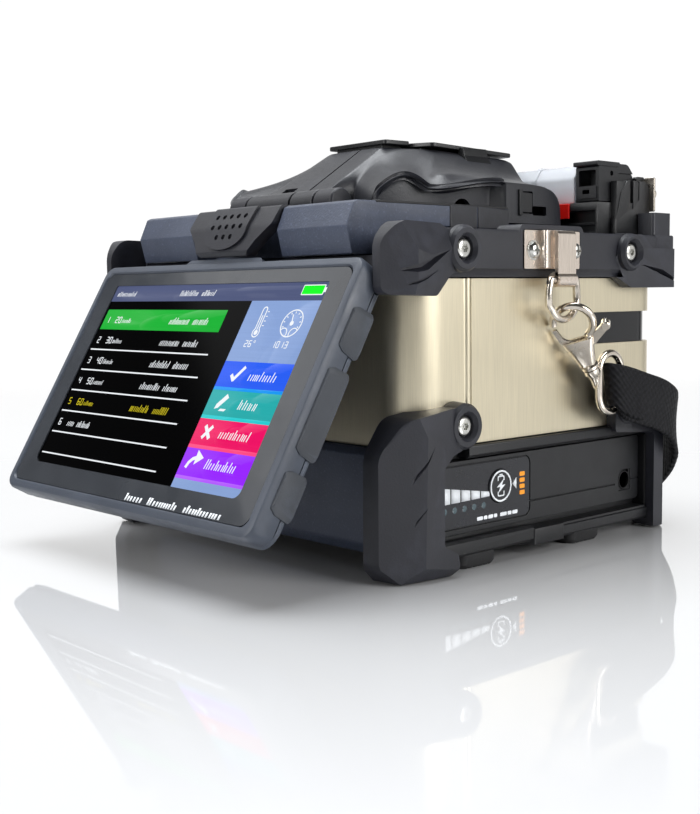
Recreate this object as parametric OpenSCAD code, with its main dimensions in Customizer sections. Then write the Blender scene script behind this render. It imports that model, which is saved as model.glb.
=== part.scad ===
// Fibre fusion splicer: metal-shelled body on a battery tray, tilting touch
// monitor at the front, hinged wind cover on top, tube heater at the rear and
// a webbing carrying strap clipped to a bracket on each side.
// +Z up, the operator stands at -Y, +X is the operator's right.
// The origin is on the table, at the middle of the whole machine's outline.

/* [Body] */
// Width over the metal shell
shell_w = 133; // [132.8:0.1:133.2]
// Depth over the metal shell
shell_d = 122; // [121.8:0.1:122.2]
// Height of the metal shell's lower edge above the table
shell_z = 36; // [35.9:0.1:36.1]
// Height of the metal shell
shell_h = 48; // [47.8:0.1:48]
// Sheet thickness of the metal shell
shell_t = 1.5; // [1:0.1:2]
// Radius of the metal shell's upright corners
corner_r = 12.7; // [12:0.1:13]

/* [Top] */
// Width of the top deck
deck_w = 104; // [103.6:0.1:104.2]
// Height of the deck's rim above the table
deck_top = 106; // [105.5:0.1:106]
// Width of the wind cover
hood_w = 99.2; // [98:0.2:99.2]
// Height of the wind cover's flat top
hood_top = 127.5; // [126.5:0.5:128.5]

/* [Monitor] */
// Width of the monitor
monitor_w = 130; // [128:0.5:130]
// Length of the monitor's face from top to bottom edge
monitor_l = 82.5; // [82:0.1:83]
// Lean of the monitor's face from vertical, bottom edge forwards
monitor_tilt = 30.4; // [28:0.1:32]
// Width of the display's lit area
display_w = 108; // [106:0.5:110]
// Height of the display's lit area
display_h = 64.8; // [63:0.1:66]

/* [Battery] */
// Length of the battery pack along the side
battery_l = 99; // [98:0.2:99.4]
// Height of the battery's face
battery_h = 21.4; // [21:0.1:21.6]

/* [Heater] */
// Half length of the heater's lid
heater_half = 49; // [48:0.2:49.2]
// Height of the top of the closed heater lid
heater_top = 122; // [121:0.2:122.4]

/* [Strap] */
// Width of the webbing
strap_w = 17; // [16:0.5:17.4]
// Thickness of the webbing
strap_t = 1.8; // [1.4:0.1:2.2]
// Wire diameter of the strap's rings and hooks
wire_d = 2.4; // [2.2:0.1:2.5]

/* [Hidden] */
$fn = 48;
// Rearmost point of the upper bumpers
rear_end = 64.6;
play = 0.3;
pin_play = 0.05;
shell_front = -shell_d / 2;
shell_side = shell_w / 2;
shell_top = shell_z + shell_h;
bead_y = shell_front + 23.5;
tray_w = 128;
tray_d = 117;
tray_z = 4.2;
tray_wall = 3;
tray_r = 10;
vent_x = 29.8;
vent_y = [-50.8, -35.2];
vent_pitch = 4.4;
frame_w = 140;
frame_d = 128;
frame_r = 14;
frame_z = shell_top + 0.3;
frame_top = 98;
web_t = 2;
screw_front_y = -44.5;
screw_rear_y = 35.5;
screw_low_z = 42.1;
screw_high_z = 92.2;
screw_x = 71.6;
screw_hole_r = 1.6;
screw_seat_r = 4.2;
// Bumpers: outermost face, face of their side plates, and inner side
bumper_side = 74.5;
plate_side = 72.6;
bumper_inner = 64.2;
bumper_front = -74;
bead_r = 1.3;
insert_z = [60.5, 75.5];
// Splicing point: the middle of the fibre line
fibre_y = -14;
fibre_z = 107;
// Well for the splicing unit: half width, front, rear and floor
well = [36, -38, 10, 72];
clamp_pin = [-4.6, fibre_z + 1.2];
clamp_pin_r = 0.8;
holder_x = [24, 35.5];
holder_top = 106.4;
holder_pin_r = 0.7;
deck_rear = 31;
// Rear pins of the sheath holders' lids
lid_pin = [-2.6, 108.1];
rim_end = -3;
deck_floor = 99.5;
plinth_z = 91;
tab_pin = [-65.6, 105.4];
hood_pin = [-49, 107.6];
hood_pin_r = 1.5;
hood_wall = 2;
knuckle_r = 4.6;
// Each end of the moving knuckle, and of the fixed ones beside it
knuckle_x = 16.5;
end_knuckle_x = [16.9, 25.7];
notch_at = [-17, 108];
notch_r = 5.5;
// Side tabs of the wind cover's top plate
tab_x = 22;
tab_t = 1.4;
tab_y = [9, 21];
heater_pin = [56, 111.5];
heater_pin_r = 1.2;
heater_y = [33, 58];
heater_bed = 109;
lid_z = heater_bed + 0.4;
lid_wall = 1.6;
lid_knuckle_r = 2.3;
lid_knuckle_x = [-26, -8, 16];
clamp_x = [50.4, 59.6];
// Monitor: top edge of the face, and its hinge as (down the face, behind it)
monitor_edge = [-75.7, 90.1];
monitor_hinge = [6, 8];
monitor_pin_r = 1.6;
monitor_ear_x = [34, 38];
display_drop = 7.65;
bezel_d = 7.2;
border_w = 3.2;
// Distance from the body's own middle to the middle of the whole outline
outline_shift = (monitor_l * sin(monitor_tilt) - monitor_edge[0] - rear_end) / 2;
battery_y = -51.5;
battery_z = 10;
battery_inner = -33;
case_side = 62.5;
face_side = 67;
cell_r = 9.1;
cell_pitch = 21;
button_y = -23.8;
button_z = 22.2;
button_r = 4.3;
jack_y = 40;
jack_z = 16.8;
jack_r = 2.9;
jack_seat_r = 4.4;
key_y = [-34, -23];
key_r = 4;
key_x = -64.5;
key_z = 93.2;
// Side hardware, right side: ring bar, hook and strap ring
wire_r = wire_d / 2;
bar_pos = [73.1, -2.1, 83.4];
tongue_y = [-6.4, 2.2];
bracket_y = [-17, 9.8];
bracket_z = [86.6, 98.2];
bracket_screw_y = [-12.3, 7.6];
bracket_hole_r = 1.3;
d_ring_r = 6.1;
d_ring_drop = 5.9;
hook_lean = 33;
hook_turn = 30;
hook_loop_r = 6;
hook_pos = [73.1, 2.7, 70.1];
rivet_z = -9.2;
rivet_r = 0.7;
trigger_t = 1;
// Oval strap ring: middle, and how far its wire's middle line reaches up and along
eye_pos = [74, 20.8, 50.9];
eye_half = 9.3;
eye_reach = 5.8;
// Route of the webbing's middle line, from the right ring to the left one
strap_route = [
    [76.4, 20.8, 48.9], [77, 27.5, 46.9], [77.2, 35, 44.9], [77, 42, 43.2], [76.6, 48, 41.2],
    [75.6, 53.8, 38.2], [72.8, 59, 33.2], [68, 63.4, 27], [61.4, 67.6, 20.8], [53, 72.4, 15.4],
    [44.4, 78.4, 11.8], [36, 85.4, 9.9], [28, 92.4, 9], [18, 101, 9], [6, 111, 9], [-8, 120, 9],
    [-24, 125, 9], [-40, 124, 9], [-55, 117, 9], [-66, 105, 9.6], [-73, 91, 12.4], [-76.6, 77, 18],
    [-77.6, 64, 25.4], [-77.4, 52, 33], [-77.2, 41, 39.4], [-76.9, 33, 43.6],
    [-76.8, 27, 46.6], [-76.4, 20.8, 48.8]];

// ---- helpers ----

// Puts the machine's own middle where the outline's middle is the origin
module placed() {
    translate([0, outline_shift, 0]) children();
}

// Box between two limits along each axis
module block(x, y, z) {
    translate([x[0], y[0], z[0]]) cube([x[1] - x[0], y[1] - y[0], z[1] - z[0]]);
}

// Draws its children on both sides of the machine
module both_sides() {
    children();
    mirror([1, 0, 0]) children();
}

// Draws its children on the right or on the left
module on_side(side) {
    if (side > 0) children();
    else mirror([1, 0, 0]) children();
}

module rounded_rect(w, d, r) {
    square([w - 2 * r, d], center = true);
    square([w, d - 2 * r], center = true);
    for (sx = [-1, 1], sy = [-1, 1])
        translate([sx * (w / 2 - r), sy * (d / 2 - r)]) circle(r);
}

// Outline in Y and Z, drawn along X
module along_x(x0, x1) {
    translate([x0, 0, 0]) rotate([90, 0, 90]) linear_extrude(x1 - x0) children();
}

// Outline in X and Z, drawn along Y
module along_y(y0, y1) {
    translate([0, y1, 0]) rotate([90, 0, 0]) linear_extrude(y1 - y0) children();
}

module pin_x(x0, x1, at, r) {
    translate([x0, at[0], at[1]]) rotate([0, 90, 0]) cylinder(r = r, h = x1 - x0);
}

module pin_y(y0, y1, at, r) {
    translate([at[0], y0, at[1]]) rotate([-90, 0, 0]) cylinder(r = r, h = y1 - y0);
}

// The body's outline, grown by a gap, as a solid that bumpers are cut with
module body_outline(gap, z0, z1) {
    translate([0, 0, z0]) linear_extrude(z1 - z0)
        rounded_rect(shell_w + 2 * gap, shell_d + 2 * gap, corner_r + gap);
}

// Monitor's own frame: face in the XZ plane, top edge at 0, depth along +Y
module on_monitor() {
    placed() translate([0, monitor_edge[0], monitor_edge[1]])
        rotate([-monitor_tilt, 0, 0]) children();
}

// Hook's own frame: loop centre at 0, loop in the XZ plane, swivel along -Z
module on_hook() {
    translate(hook_pos) rotate([hook_lean, 0, 0]) rotate([0, 0, hook_turn]) children();
}

// ---- base and battery ----

module base_tray() placed() color("#202226") {
    floor_z = tray_z + tray_wall;
    difference() {
        translate([0, 0, tray_z]) linear_extrude(shell_z - tray_z - 0.2)
            rounded_rect(tray_w, tray_d, tray_r);
        translate([0, 0, floor_z]) linear_extrude(shell_z)
            rounded_rect(tray_w - 2 * tray_wall, tray_d - 2 * tray_wall, tray_r - tray_wall);
        block([55, 75], [battery_y - play, battery_y + battery_l + play],
            [battery_z - play, battery_z + battery_h + play]);
        block([-vent_x - 0.2, vent_x + 0.2], [vent_y[0] - 0.2, vent_y[1] + 0.2], [0, floor_z + 1]);
    }
    // lower side rails
    both_sides() block([63.9, 69.5], [-54, 47.5], [tray_z, 7.8]);
    // runners that the battery slides on
    for (y = [-32, 32]) block([battery_inner, 59], [y, y + 6], [floor_z - 1, battery_z - play]);
}

module bottom_vent() placed() color("#17181b") difference() {
    block([-vent_x, vent_x], vent_y, [tray_z + 0.5, tray_z + 2.5]);
    for (i = [-6:6]) block([i * vent_pitch - 1.2, i * vent_pitch + 1.2], [-49, -37], [0, 10]);
}

module rubber_feet() placed() color("#111214") both_sides() {
    for (y = [-36, 15]) block([54, 67], [y - 8, y + 8], [0, tray_z]);
    block([41, 53.5], [-57.5, -49.5], [0, tray_z]);
}

// Room that the shell and the tray take out of the lower bumpers
module lower_room() {
    body_outline(play, shell_z - 0.2, 60);
    translate([0, 0, -1]) linear_extrude(shell_z + 1)
        rounded_rect(tray_w + 0.4, tray_d + 0.4, tray_r + 0.2);
}

// Corner guard of the lower body; front one carries the toe, rear one the post
module lower_bumper_front() difference() {
    union() {
        translate([0, 0, 0.5]) linear_extrude(45.5)
            polygon([[61, -60], [61, bumper_front + 2.4], [63.4, bumper_front],
                [bumper_side - 3.5, bumper_front], [bumper_side, bumper_front + 3.5],
                [bumper_side, -57], [plate_side, -55.2], [60, -55.2]]);
        block([bumper_inner, plate_side], [-55.6, screw_front_y + 5.3], [shell_z - 1, 47.5]);
        block([bumper_inner, plate_side], [-56, -52.4], [8.2, shell_z]);
    }
    lower_room();
    screw_seat(screw_front_y, screw_low_z);
}

module lower_bumper_rear() difference() {
    union() {
        translate([0, 0, 0.5]) linear_extrude(46)
            polygon([[60, 48], [70.6, 48], [72.4, 49.8], [72.4, 53.5], [66, 60.5], [62, 62.3],
                [58, 62.3], [58, 55]]);
        block([bumper_inner, plate_side], [screw_rear_y - 7, 48.2], [shell_z - 3, 46.5]);
    }
    lower_room();
    screw_seat(screw_rear_y, screw_low_z);
}

// Screw seat: a wide counterbore and a narrow hole behind it
module screw_seat(y, z) {
    pin_x(screw_x - 2, 80, [y, z], screw_seat_r);
    pin_x(60, 75, [y, z], screw_hole_r);
}

module lower_bumpers() placed() color("#26282d") both_sides() {
    lower_bumper_front();
    lower_bumper_rear();
}

module front_lower_cover() placed() color("#2a2d34") along_x(-57, 57)
    polygon([[-58.7, 6], [-62.5, 6], [-64, 9], [-64, 34], [-62.5, 35.8], [-58.7, 35.8]]);

module battery_case() placed() color("#191a1d") difference() {
    block([battery_inner, case_side], [battery_y, battery_y + battery_l],
        [battery_z, battery_z + battery_h]);
    block([battery_inner + 2, case_side - 1.5], [battery_y + 1.5, battery_y + battery_l - 1.5],
        [battery_z + 1.4, battery_z + battery_h - 1.4]);
    pin_x(60, 70, [jack_y, jack_z], jack_seat_r);
}

module battery_face() placed() color("#26282d") difference() {
    block([case_side, face_side], [battery_y, battery_y + battery_l],
        [battery_z, battery_z + battery_h]);
    pin_x(60, 70, [button_y, button_z], button_r + 0.15);
    pin_x(60, 70, [jack_y, jack_z], jack_seat_r);
    block([65.2, 70], [battery_y + 3, battery_y + 37], [battery_z + 2, battery_z + battery_h - 2]);
}

module battery_cells() placed() color("#3d6fa5")
    for (i = [0:3], ends = [[-29, 14], [15, 56]])
        pin_x(ends[0], ends[1], [battery_y + 15 + i * cell_pitch, battery_z + battery_h / 2], cell_r);

module battery_board() placed() color("#1d6b3a") {
    block([58.4, 59.4], [battery_y + 5, -10], [battery_z + 5, battery_z + 18]);
    for (i = [0:4]) block([59.4, 60.6], [-47 + i * 4.2, -45.4 + i * 4.2], [16.4, 18]);
}

module battery_button() placed() color("#c9cdd2") {
    pin_x(63.8, face_side + 0.9, [button_y, button_z], button_r);
}

module dc_jack() placed() color("#0d0e10") difference() {
    pin_x(53, face_side - 1.2, [jack_y, jack_z], jack_seat_r - 0.2);
    pin_x(55, 70, [jack_y, jack_z], jack_r);
}

// ---- metal shell ----

module shell_ring() difference() {
    body_outline(0, shell_z, shell_top);
    body_outline(-shell_t, shell_z - 1, shell_top + 1);
}

module shell_front_panel() placed() color("#c9bd9c") {
    intersection() {
        shell_ring();
        difference() {
            block([-80, 80], [-80, bead_y], [0, 100]);
            both_sides() pin_x(60, 70, [screw_front_y, screw_low_z], screw_hole_r);
        }
    }
    both_sides() translate([shell_side - 0.5, bead_y, shell_z]) cylinder(r = bead_r, h = shell_h);
}

module shell_rear_panel() placed() color("#c9bd9c") difference() {
    intersection() {
        shell_ring();
        block([-80, 80], [bead_y + 1.5, 80], [0, 100]);
    }
    block([50, 70], [22, 70], [insert_z[0] + 2.5, insert_z[1] - 2.5]);
    both_sides() pin_x(60, 70, [screw_rear_y, screw_low_z], screw_hole_r);
}

module corner_insert() placed() color("#15161a") difference() {
    intersection() {
        body_outline(-shell_t, 60, 76);
        block([50, 70], [20, 70], insert_z);
    }
    body_outline(-shell_t - 1.6, 50, 80);
}

// ---- upper frame and its bumpers ----

module upper_frame() placed() color("#2b2d33") difference() {
    union() {
        translate([0, 0, frame_z]) linear_extrude(frame_top - frame_z)
            rounded_rect(frame_w, frame_d, frame_r);
        both_sides() block([60, frame_w / 2], [-18.5, 11.5], [frame_top - 1, 99.6]);
        both_sides() block([63.2, 69.4], [51, 62], [frame_top - 1, deck_top]);
    }
    translate([0, 0, frame_z + web_t]) linear_extrude(40) rounded_rect(110, 112, 8);
    block([-well[0] - 3, well[0] + 3], [well[1] - 3, well[2] + 3], [80, 90]);
    // low rail behind the front blocks
    block([-60, 60], [-70, -48], [90.6, 110]);
    both_sides() block([69, 80], [bracket_y[0] - play, bracket_y[1] + play],
        [bracket_z[0] - play, bracket_z[1] + play]);
    for (y = key_y) translate([key_x, y, 0]) {
        translate([0, 0, key_z - 1.2]) cylinder(r = key_r + 0.15, h = 20);
        cylinder(r = 2, h = 100);
    }
    both_sides() for (y = [screw_front_y, screw_rear_y])
        pin_x(60, 75, [y, screw_high_z], screw_hole_r);
    both_sides() for (y = bracket_screw_y) pin_x(64, 75, [y, screw_high_z], bracket_hole_r);
}

// Room that the shell and the frame take out of the upper bumpers
module upper_room() {
    body_outline(play, 70, frame_z - 0.1);
    translate([0, 0, frame_z - 0.2]) linear_extrude(30)
        rounded_rect(frame_w + 0.2, frame_d + 0.2, frame_r + 0.1);
}

module upper_bumper_front() difference() {
    union() {
        translate([0, 0, 79]) linear_extrude(20.2)
            polygon([[65.8, -56], [65.8, bumper_front + 2], [67.8, bumper_front],
                [bumper_side - 3.5, bumper_front], [bumper_side, bumper_front + 3.5],
                [bumper_side, -52], [plate_side, -49.6], [60, -49.6]]);
        block([bumper_inner, plate_side], [-50, screw_front_y + 7], [84.6, 98.6]);
    }
    upper_room();
    screw_seat(screw_front_y, screw_high_z);
}

module upper_bumper_rear() difference() {
    along_x(60, 73)
        polygon([[26.5, 85.6], [37, 80.6], [61, 80.6], [rear_end, 84], [rear_end, 93.6],
            [40, 93.6], [40, 98.2], [31, 98.2], [26.5, 96]]);
    upper_room();
    screw_seat(screw_rear_y, screw_high_z);
}

module upper_bumpers() placed() color("#26282d") both_sides() {
    upper_bumper_front();
    upper_bumper_rear();
}

module side_screws() placed() color("#c4c6c9") both_sides()
    for (y = [screw_front_y, screw_rear_y], z = [screw_low_z, screw_high_z]) difference() {
        union() {
            pin_x(screw_x - 1.5, screw_x, [y, z], 2.9);
            pin_x(64.4, screw_x - 1.5, [y, z], 1.45);
        }
        translate([screw_x - 1, y, z]) rotate([0, 90, 0]) cylinder(r = 1.3, h = 3, $fn = 6);
    }

// ---- top deck ----

module front_block_outline() {
    polygon([[-57, plinth_z], [-69.4, plinth_z], [-71.4, 98.8], [-68.4, 105.4], [-67, deck_top],
        [-57, deck_top]]);
}

module top_deck() placed() color("#2e3036") difference() {
    half = deck_w / 2;
    union() {
        // deck plate, higher in front of the rim's end than behind it
        block([-half, half], [-60, rim_end], [deck_floor, 104]);
        block([-half, half], [rim_end, deck_rear], [deck_floor, 101]);
        both_sides() block([half - 1.9, half], [-60, rim_end], [deck_floor, deck_top]);
        both_sides() along_x(21.4, half) front_block_outline();
        block([-21.5, 21.5], [-62, -57], [plinth_z, 104]);
        // walls that stand on the frame's web
        difference() {
            block([-46, 46], [-55, deck_rear - 4], [86.5, 100]);
            block([-44, 44], [-53, deck_rear - 6], [80, deck_floor]);
        }
        block([-well[0] - 2, well[0] + 2], [well[1] - 2, well[2] + 2], [well[3] - 2, 100]);
    }
    block([-well[0], well[0]], [well[1], well[2]], [well[3], 120]);
    // round seats under the wind cover's knuckles
    pin_x(-30, 30, hood_pin, knuckle_r + 1.1);
}

module release_tab() placed() color("#2b2d33") {
    pin_x(-21.3, 21.3, tab_pin, 0.9);
    release_tab_plate();
}

module release_tab_plate() intersection() {
    along_x(-30, 30)
        polygon([[-64.5, 104.4], [-64.5, 106.5], [-68.6, 106.5], [-73, 100.5], [-76.2, 93],
            [-75.6, 91.4], [-71.8, 91.4], [-68.5, 99], [-66, 104.4]]);
    along_y(-80, -60)
        polygon([[-20.8, 107], [20.8, 107], [20.8, 101], [15.6, 96.5], [11.4, 91],
            [-11.4, 91], [-15.6, 96.5], [-20.8, 101]]);
}

// ---- monitor ----

hinge_at = [monitor_edge[0] - monitor_hinge[0] * sin(monitor_tilt) + monitor_hinge[1] * cos(monitor_tilt),
    monitor_edge[1] - monitor_hinge[0] * cos(monitor_tilt) - monitor_hinge[1] * sin(monitor_tilt)];

module monitor_hinge_ears() placed() color("#1d1e22") both_sides()
    difference() {
        union() {
            pin_x(monitor_ear_x[0], monitor_ear_x[1], hinge_at, 3.8);
            block(monitor_ear_x, [hinge_at[0], -61.2], [hinge_at[1] - 3.8, hinge_at[1] + 3.2]);
            block([monitor_ear_x[0] - 5, monitor_ear_x[1] + 5], [-63, -61.2],
                [hinge_at[1] - 7, hinge_at[1] + 3.2]);
        }
        pin_x(0, 60, hinge_at, monitor_pin_r + pin_play);
    }

module monitor_slots() both_sides()
    block([monitor_ear_x[0] - 0.5, monitor_ear_x[1] + 0.5], [2.9, 20], [-12.5, 1]);

module monitor_outline(inset, r) {
    translate([0, -monitor_l / 2])
        rounded_rect(monitor_w - 2 * inset, monitor_l - 2 * inset, r);
}

module monitor_bezel() on_monitor() color("#2a2c32") difference() {
    along_y(0, bezel_d) monitor_outline(0, 5);
    along_y(-1, 1.3) monitor_outline(border_w, 3.5);
    along_y(1, 8) monitor_outline(5, 2);
    monitor_slots();
    pin_x(-80, 80, [monitor_hinge[1], -monitor_hinge[0]], monitor_pin_r);
}

module monitor_shell() on_monitor() color("#26282d") difference() {
    union() {
        along_y(bezel_d + play, 10.4) monitor_outline(0.3, 4.7);
        along_x(-58, 58)
            polygon([[10.4, -10], [10.4, -76], [12, -72], [13.6, -62], [13.6, -26], [12, -14]]);
    }
    along_y(7, 9) monitor_outline(5, 2);
    monitor_slots();
    pin_x(-80, 80, [monitor_hinge[1], -monitor_hinge[0]], monitor_pin_r);
}

module monitor_glass() on_monitor() color("#121418")
    along_y(0.1, 1.2) monitor_outline(border_w + 0.2, 3.3);

module lcd_panel() on_monitor() color("#2f6fd0")
    along_y(1.35, 2.6) translate([0, -display_drop - display_h / 2])
        square([display_w + 4, display_h + 4], center = true);

module monitor_grips() on_monitor() color("#1c1d21") both_sides()
    for (z = [[-26, -14], [-56, -30], [-73, -60]])
        block([monitor_w / 2, monitor_w / 2 + 1.4], [2.2, 10], z);

module monitor_pins() on_monitor() color("#8d9095") both_sides()
    pin_x(monitor_ear_x[0] - 3.5, monitor_ear_x[1] + 3.5,
        [monitor_hinge[1], -monitor_hinge[0]], monitor_pin_r);

// ---- wind cover ----

// Side view of the cover, and its front view, each drawn in by a wall
module cover_side(wall) {
    polygon([[-48.6 + wall, 104.4], [-48.8 + wall, 110.2 - wall], [-19.8 + wall / 2, hood_top - wall],
        [31.6 - wall, hood_top - 2 - wall], [33.6 - wall, 117 - wall], [33.6 - wall, 104.4]]);
}

module cover_front(wall) {
    half = hood_w / 2;
    polygon([[-half + wall, 100], [-half + wall, 113.6 - wall], [-half + 8 + wall, 116 - wall],
        [-31 + wall / 2, 118.5 - wall], [-22, hood_top - wall], [22, hood_top - wall],
        [31 - wall / 2, 118.5 - wall], [half - 8 - wall, 116 - wall],
        [half - wall, 113.6 - wall], [half - wall, 100]]);
}

module cover_body(wall) intersection() {
    along_x(-60, 60) cover_side(wall);
    along_y(-60, 60) cover_front(wall);
}

module wind_cover() placed() color("#33353b") difference() {
    union() {
        difference() {
            cover_body(0);
            // the lower part ends in front of the heater
            both_sides() block([34, 60], [29, 60], [90, 140]);
            block([-60, 60], [31.4, 60], [90, 109.4]);
        }
        // cheeks beside the fibre line, down to the deck
        both_sides() along_x(46, hood_w / 2)
            polygon([[rim_end + play, 101.3], [rim_end + play, 110], [22, 110], [28.6, 106], [28.6, 101.3]]);
        pin_x(-knuckle_x, knuckle_x, hood_pin, knuckle_r);
    }
    difference() {
        cover_body(hood_wall);
        both_sides() block([34, 60], [27, 60], [90, 140]);
        block([-60, 60], [29.4, 60], [90, 111.4]);
        pin_x(-knuckle_x, knuckle_x, hood_pin, knuckle_r);
    }
    // room for the fixed end knuckles, and slots for the top plate's side tabs
    both_sides() pin_x(knuckle_x + 0.1, end_knuckle_x[1] + 0.5, hood_pin, knuckle_r + 0.4);
    both_sides() block([tab_x - play, tab_x + tab_t + play], [tab_y[0] - play, tab_y[1] + play],
        [hood_top - 4.2, 140]);
    // notches that the fibre passes through, with a rounded head
    both_sides() along_x(40, 60) {
        translate(notch_at) circle(notch_r);
        translate([notch_at[0] - notch_r, 100]) square([2 * notch_r, notch_at[1] - 100]);
    }
    pin_x(-40, 40, hood_pin, hood_pin_r + pin_play);
}

module cover_top_plates() placed() color("#1b1c20") {
    intersection() {
        // stands a little above the cover's top, and falls to the rear
        along_x(-30, 30) polygon([[-19.6, hood_top], [31.6, hood_top - 2], [31.6, hood_top],
            [-6, hood_top + 2], [-9, hood_top + 2.4], [-19.6, hood_top + 2.4]]);
        linear_extrude(200) union() {
            polygon([[-14, -19.2], [14, -19.2], [14.8, -9], [-14.8, -9]]);
            polygon([[-13.5, -9.4], [13.5, -9.4], [21.5, -4.6], [24.6, 31.6], [-24.6, 31.6], [-21.5, -4.6]]);
        }
    }
    both_sides() block([tab_x, tab_x + tab_t], tab_y, [hood_top - 3.9, hood_top - 0.4]);
}

module cover_hinge_pin() placed() color("#8d9095") {
    pin_x(0.5 - end_knuckle_x[1], end_knuckle_x[1] - 0.5, hood_pin, hood_pin_r);
    // fixed end knuckles
    both_sides() difference() {
        pin_x(end_knuckle_x[0], end_knuckle_x[1], hood_pin, knuckle_r);
        pin_x(16, 27, hood_pin, hood_pin_r);
    }
}

module cover_lamp() placed() color("#e8e8e0")
    block([-14, 14], [-15, -8], [hood_top - 5, hood_top - 3]);

// ---- splicing unit ----

module v_groove_block() placed() color("#b9bdc2") difference() {
    union() {
        block([-16, 16], [-24, -4], [well[3], well[3] + 5]);
        both_sides() block([6.5, 16], [-20, -8], [well[3] + 5, fibre_z - 0.6]);
    }
    along_x(-20, 20)
        polygon([[fibre_y, fibre_z - 1.4], [fibre_y - 0.9, fibre_z], [fibre_y + 0.9, fibre_z]]);
}

module electrodes() placed() color("#9a9da1") {
    for (side = [-1, 1]) translate([0, fibre_y, fibre_z]) rotate([side * 90, 0, 0]) {
        translate([0, 0, 1.5]) cylinder(r1 = 0.2, r2 = 1, h = 4);
        translate([0, 0, 5.5]) cylinder(r = 1, h = 11);
        translate([0, 0, 14]) cylinder(r = 3, h = 5);
    }
    block([-4, 4], [well[1], well[1] + 5], [98, 108]);
    block([-4, 4], [well[2] - 5, well[2]], [98, 108]);
}

module objectives() placed() color("#3c3f45")
    for (side = [-1, 1]) translate([0, fibre_y, fibre_z]) rotate([side * 40, 0, 0])
        translate([0, 0, -31]) {
            cylinder(r = 4.6, h = 12);
            translate([0, 0, 12]) cylinder(r = 3.4, h = 6);
        }

// Arm that holds the bare fibre in its groove
module fibre_clamp(side) placed() color("#50545b") on_side(side) difference() {
    union() {
        block([8, 14], [-16, -6.5], [fibre_z, fibre_z + 2.4]);
        pin_x(8, 14, clamp_pin, 2);
    }
    pin_x(0, 20, clamp_pin, clamp_pin_r);
}

module fibre_clamp_right() fibre_clamp(1);
module fibre_clamp_left() fibre_clamp(-1);

module sheath_holders() placed() color("#4a4d54") both_sides() {
    block(holder_x, [-26, -1], [99, holder_top]);
    block([20.5, holder_x[0]], [-17, -11], [99, holder_top]);
    for (x = [holder_x[0], holder_x[1] - 0.7])
        block([x, x + 0.7], [-4, -1.2], [holder_top, lid_pin[1] + 1]);
    pin_x(holder_x[0], holder_x[1], lid_pin, holder_pin_r);
}

module holder_lid(side) placed() color("#5a5e66") on_side(side) difference() {
    ends = [holder_x[0] + 1, holder_x[1] - 1];
    union() {
        block(ends, [-26, lid_pin[0] - 1], [holder_top + play, 110.3]);
        pin_x(ends[0], ends[1], lid_pin, 1.5);
        block(ends, [lid_pin[0] - 2, lid_pin[0]], [107.6, lid_pin[1] + 1.5]);
    }
    pin_x(20, 40, lid_pin, holder_pin_r + pin_play);
}

module holder_lid_right() holder_lid(1);
module holder_lid_left() holder_lid(-1);

module drive_motors() placed() color("#6f7379") both_sides()
    for (y = [-24, -4]) translate([40, y, 76]) rotate([0, 90, 0]) {
        cylinder(r = 6, h = 15);
        translate([0, 0, -1.5]) cylinder(r = 2.5, h = 1.5);
    }

module main_board() placed() color("#1d6b3a") {
    block([-58, 58], [-48, 50], [60, 61.6]);
    for (x = [-40, -8, 24]) block([x, x + 14], [-30, -16], [61.6, 63.4]);
}

module power_module() placed() color("#3a3d42") {
    block([-52, -8], [4, 46], [40, 56]);
    block([4, 44], [10, 44], [40, 52]);
}

module key_cap(y) placed() color("#3a3d44") {
    translate([key_x, y, key_z]) cylinder(r = key_r, h = 5.6);
}

module power_key() key_cap(key_y[0]);
module heat_key() key_cap(key_y[1]);

// ---- heater ----

module heater_base() placed() color("#1f2125") {
    difference() {
        block([-60, 60], heater_y, [frame_top + 0.2, heater_bed]);
        block([-47, 47], [40, 52], [103, 120]);
        both_sides() block([46, 70], [43.5, 48.5], [105.5, 120]);
    }
    both_sides() difference() {
        block([60, 62.4], [40, heater_y[1]], [frame_top + 0.2, 116]);
        block([58, 64], [46.5, 49.5], [heater_bed, 120]);
    }
    // knuckles for the lid's and the clamps' rear hinge
    for (x = [-49.9, -12, 8, 46.9]) difference() {
        union() {
            pin_x(x, x + 3, heater_pin, 2.4);
            block([x, x + 3], [heater_pin[0] - 2.4, heater_y[1]], [heater_bed - 0.5, heater_pin[1]]);
        }
        pin_x(x - 1, x + 4, heater_pin, heater_pin_r);
    }
    pin_x(-60.2, 60.2, heater_pin, heater_pin_r);
}

module heater_trough() placed() color("#b5b8bc") difference() {
    block([-46.8, 46.8], [41, 51], [103, 108.6]);
    along_x(-50, 50) polygon([[43, 109], [45, 104.6], [47, 104.6], [49, 109]]);
}

module heater_marker() placed() color("#d3201c")
    both_sides() block([41, 48.5], [32.2, 33], [104, 108.6]);

module heater_lid() placed() color("#e3e6ea") difference() {
    union() {
        difference() {
            along_x(-heater_half, heater_half)
                polygon([[35, lid_z], [35, 118], [38, heater_top], [50, heater_top],
                    [53.4, 117], [53.4, lid_z]]);
            along_x(lid_wall - heater_half, heater_half - lid_wall)
                polygon([[36.6, 108], [36.6, 117.5], [38.7, heater_top - lid_wall],
                    [49.4, heater_top - lid_wall], [51.8, 116.5], [51.8, 108]]);
        }
        for (x = lid_knuckle_x) {
            pin_x(x, x + 10, heater_pin, lid_knuckle_r);
            block([x, x + 10], [52.5, heater_pin[0]], [lid_z, 113.4]);
        }
    }
    for (x = [-12, 8]) pin_x(x - play, x + 3 + play, heater_pin, 3);
    pin_x(-60, 60, heater_pin, heater_pin_r + pin_play);
}

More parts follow.
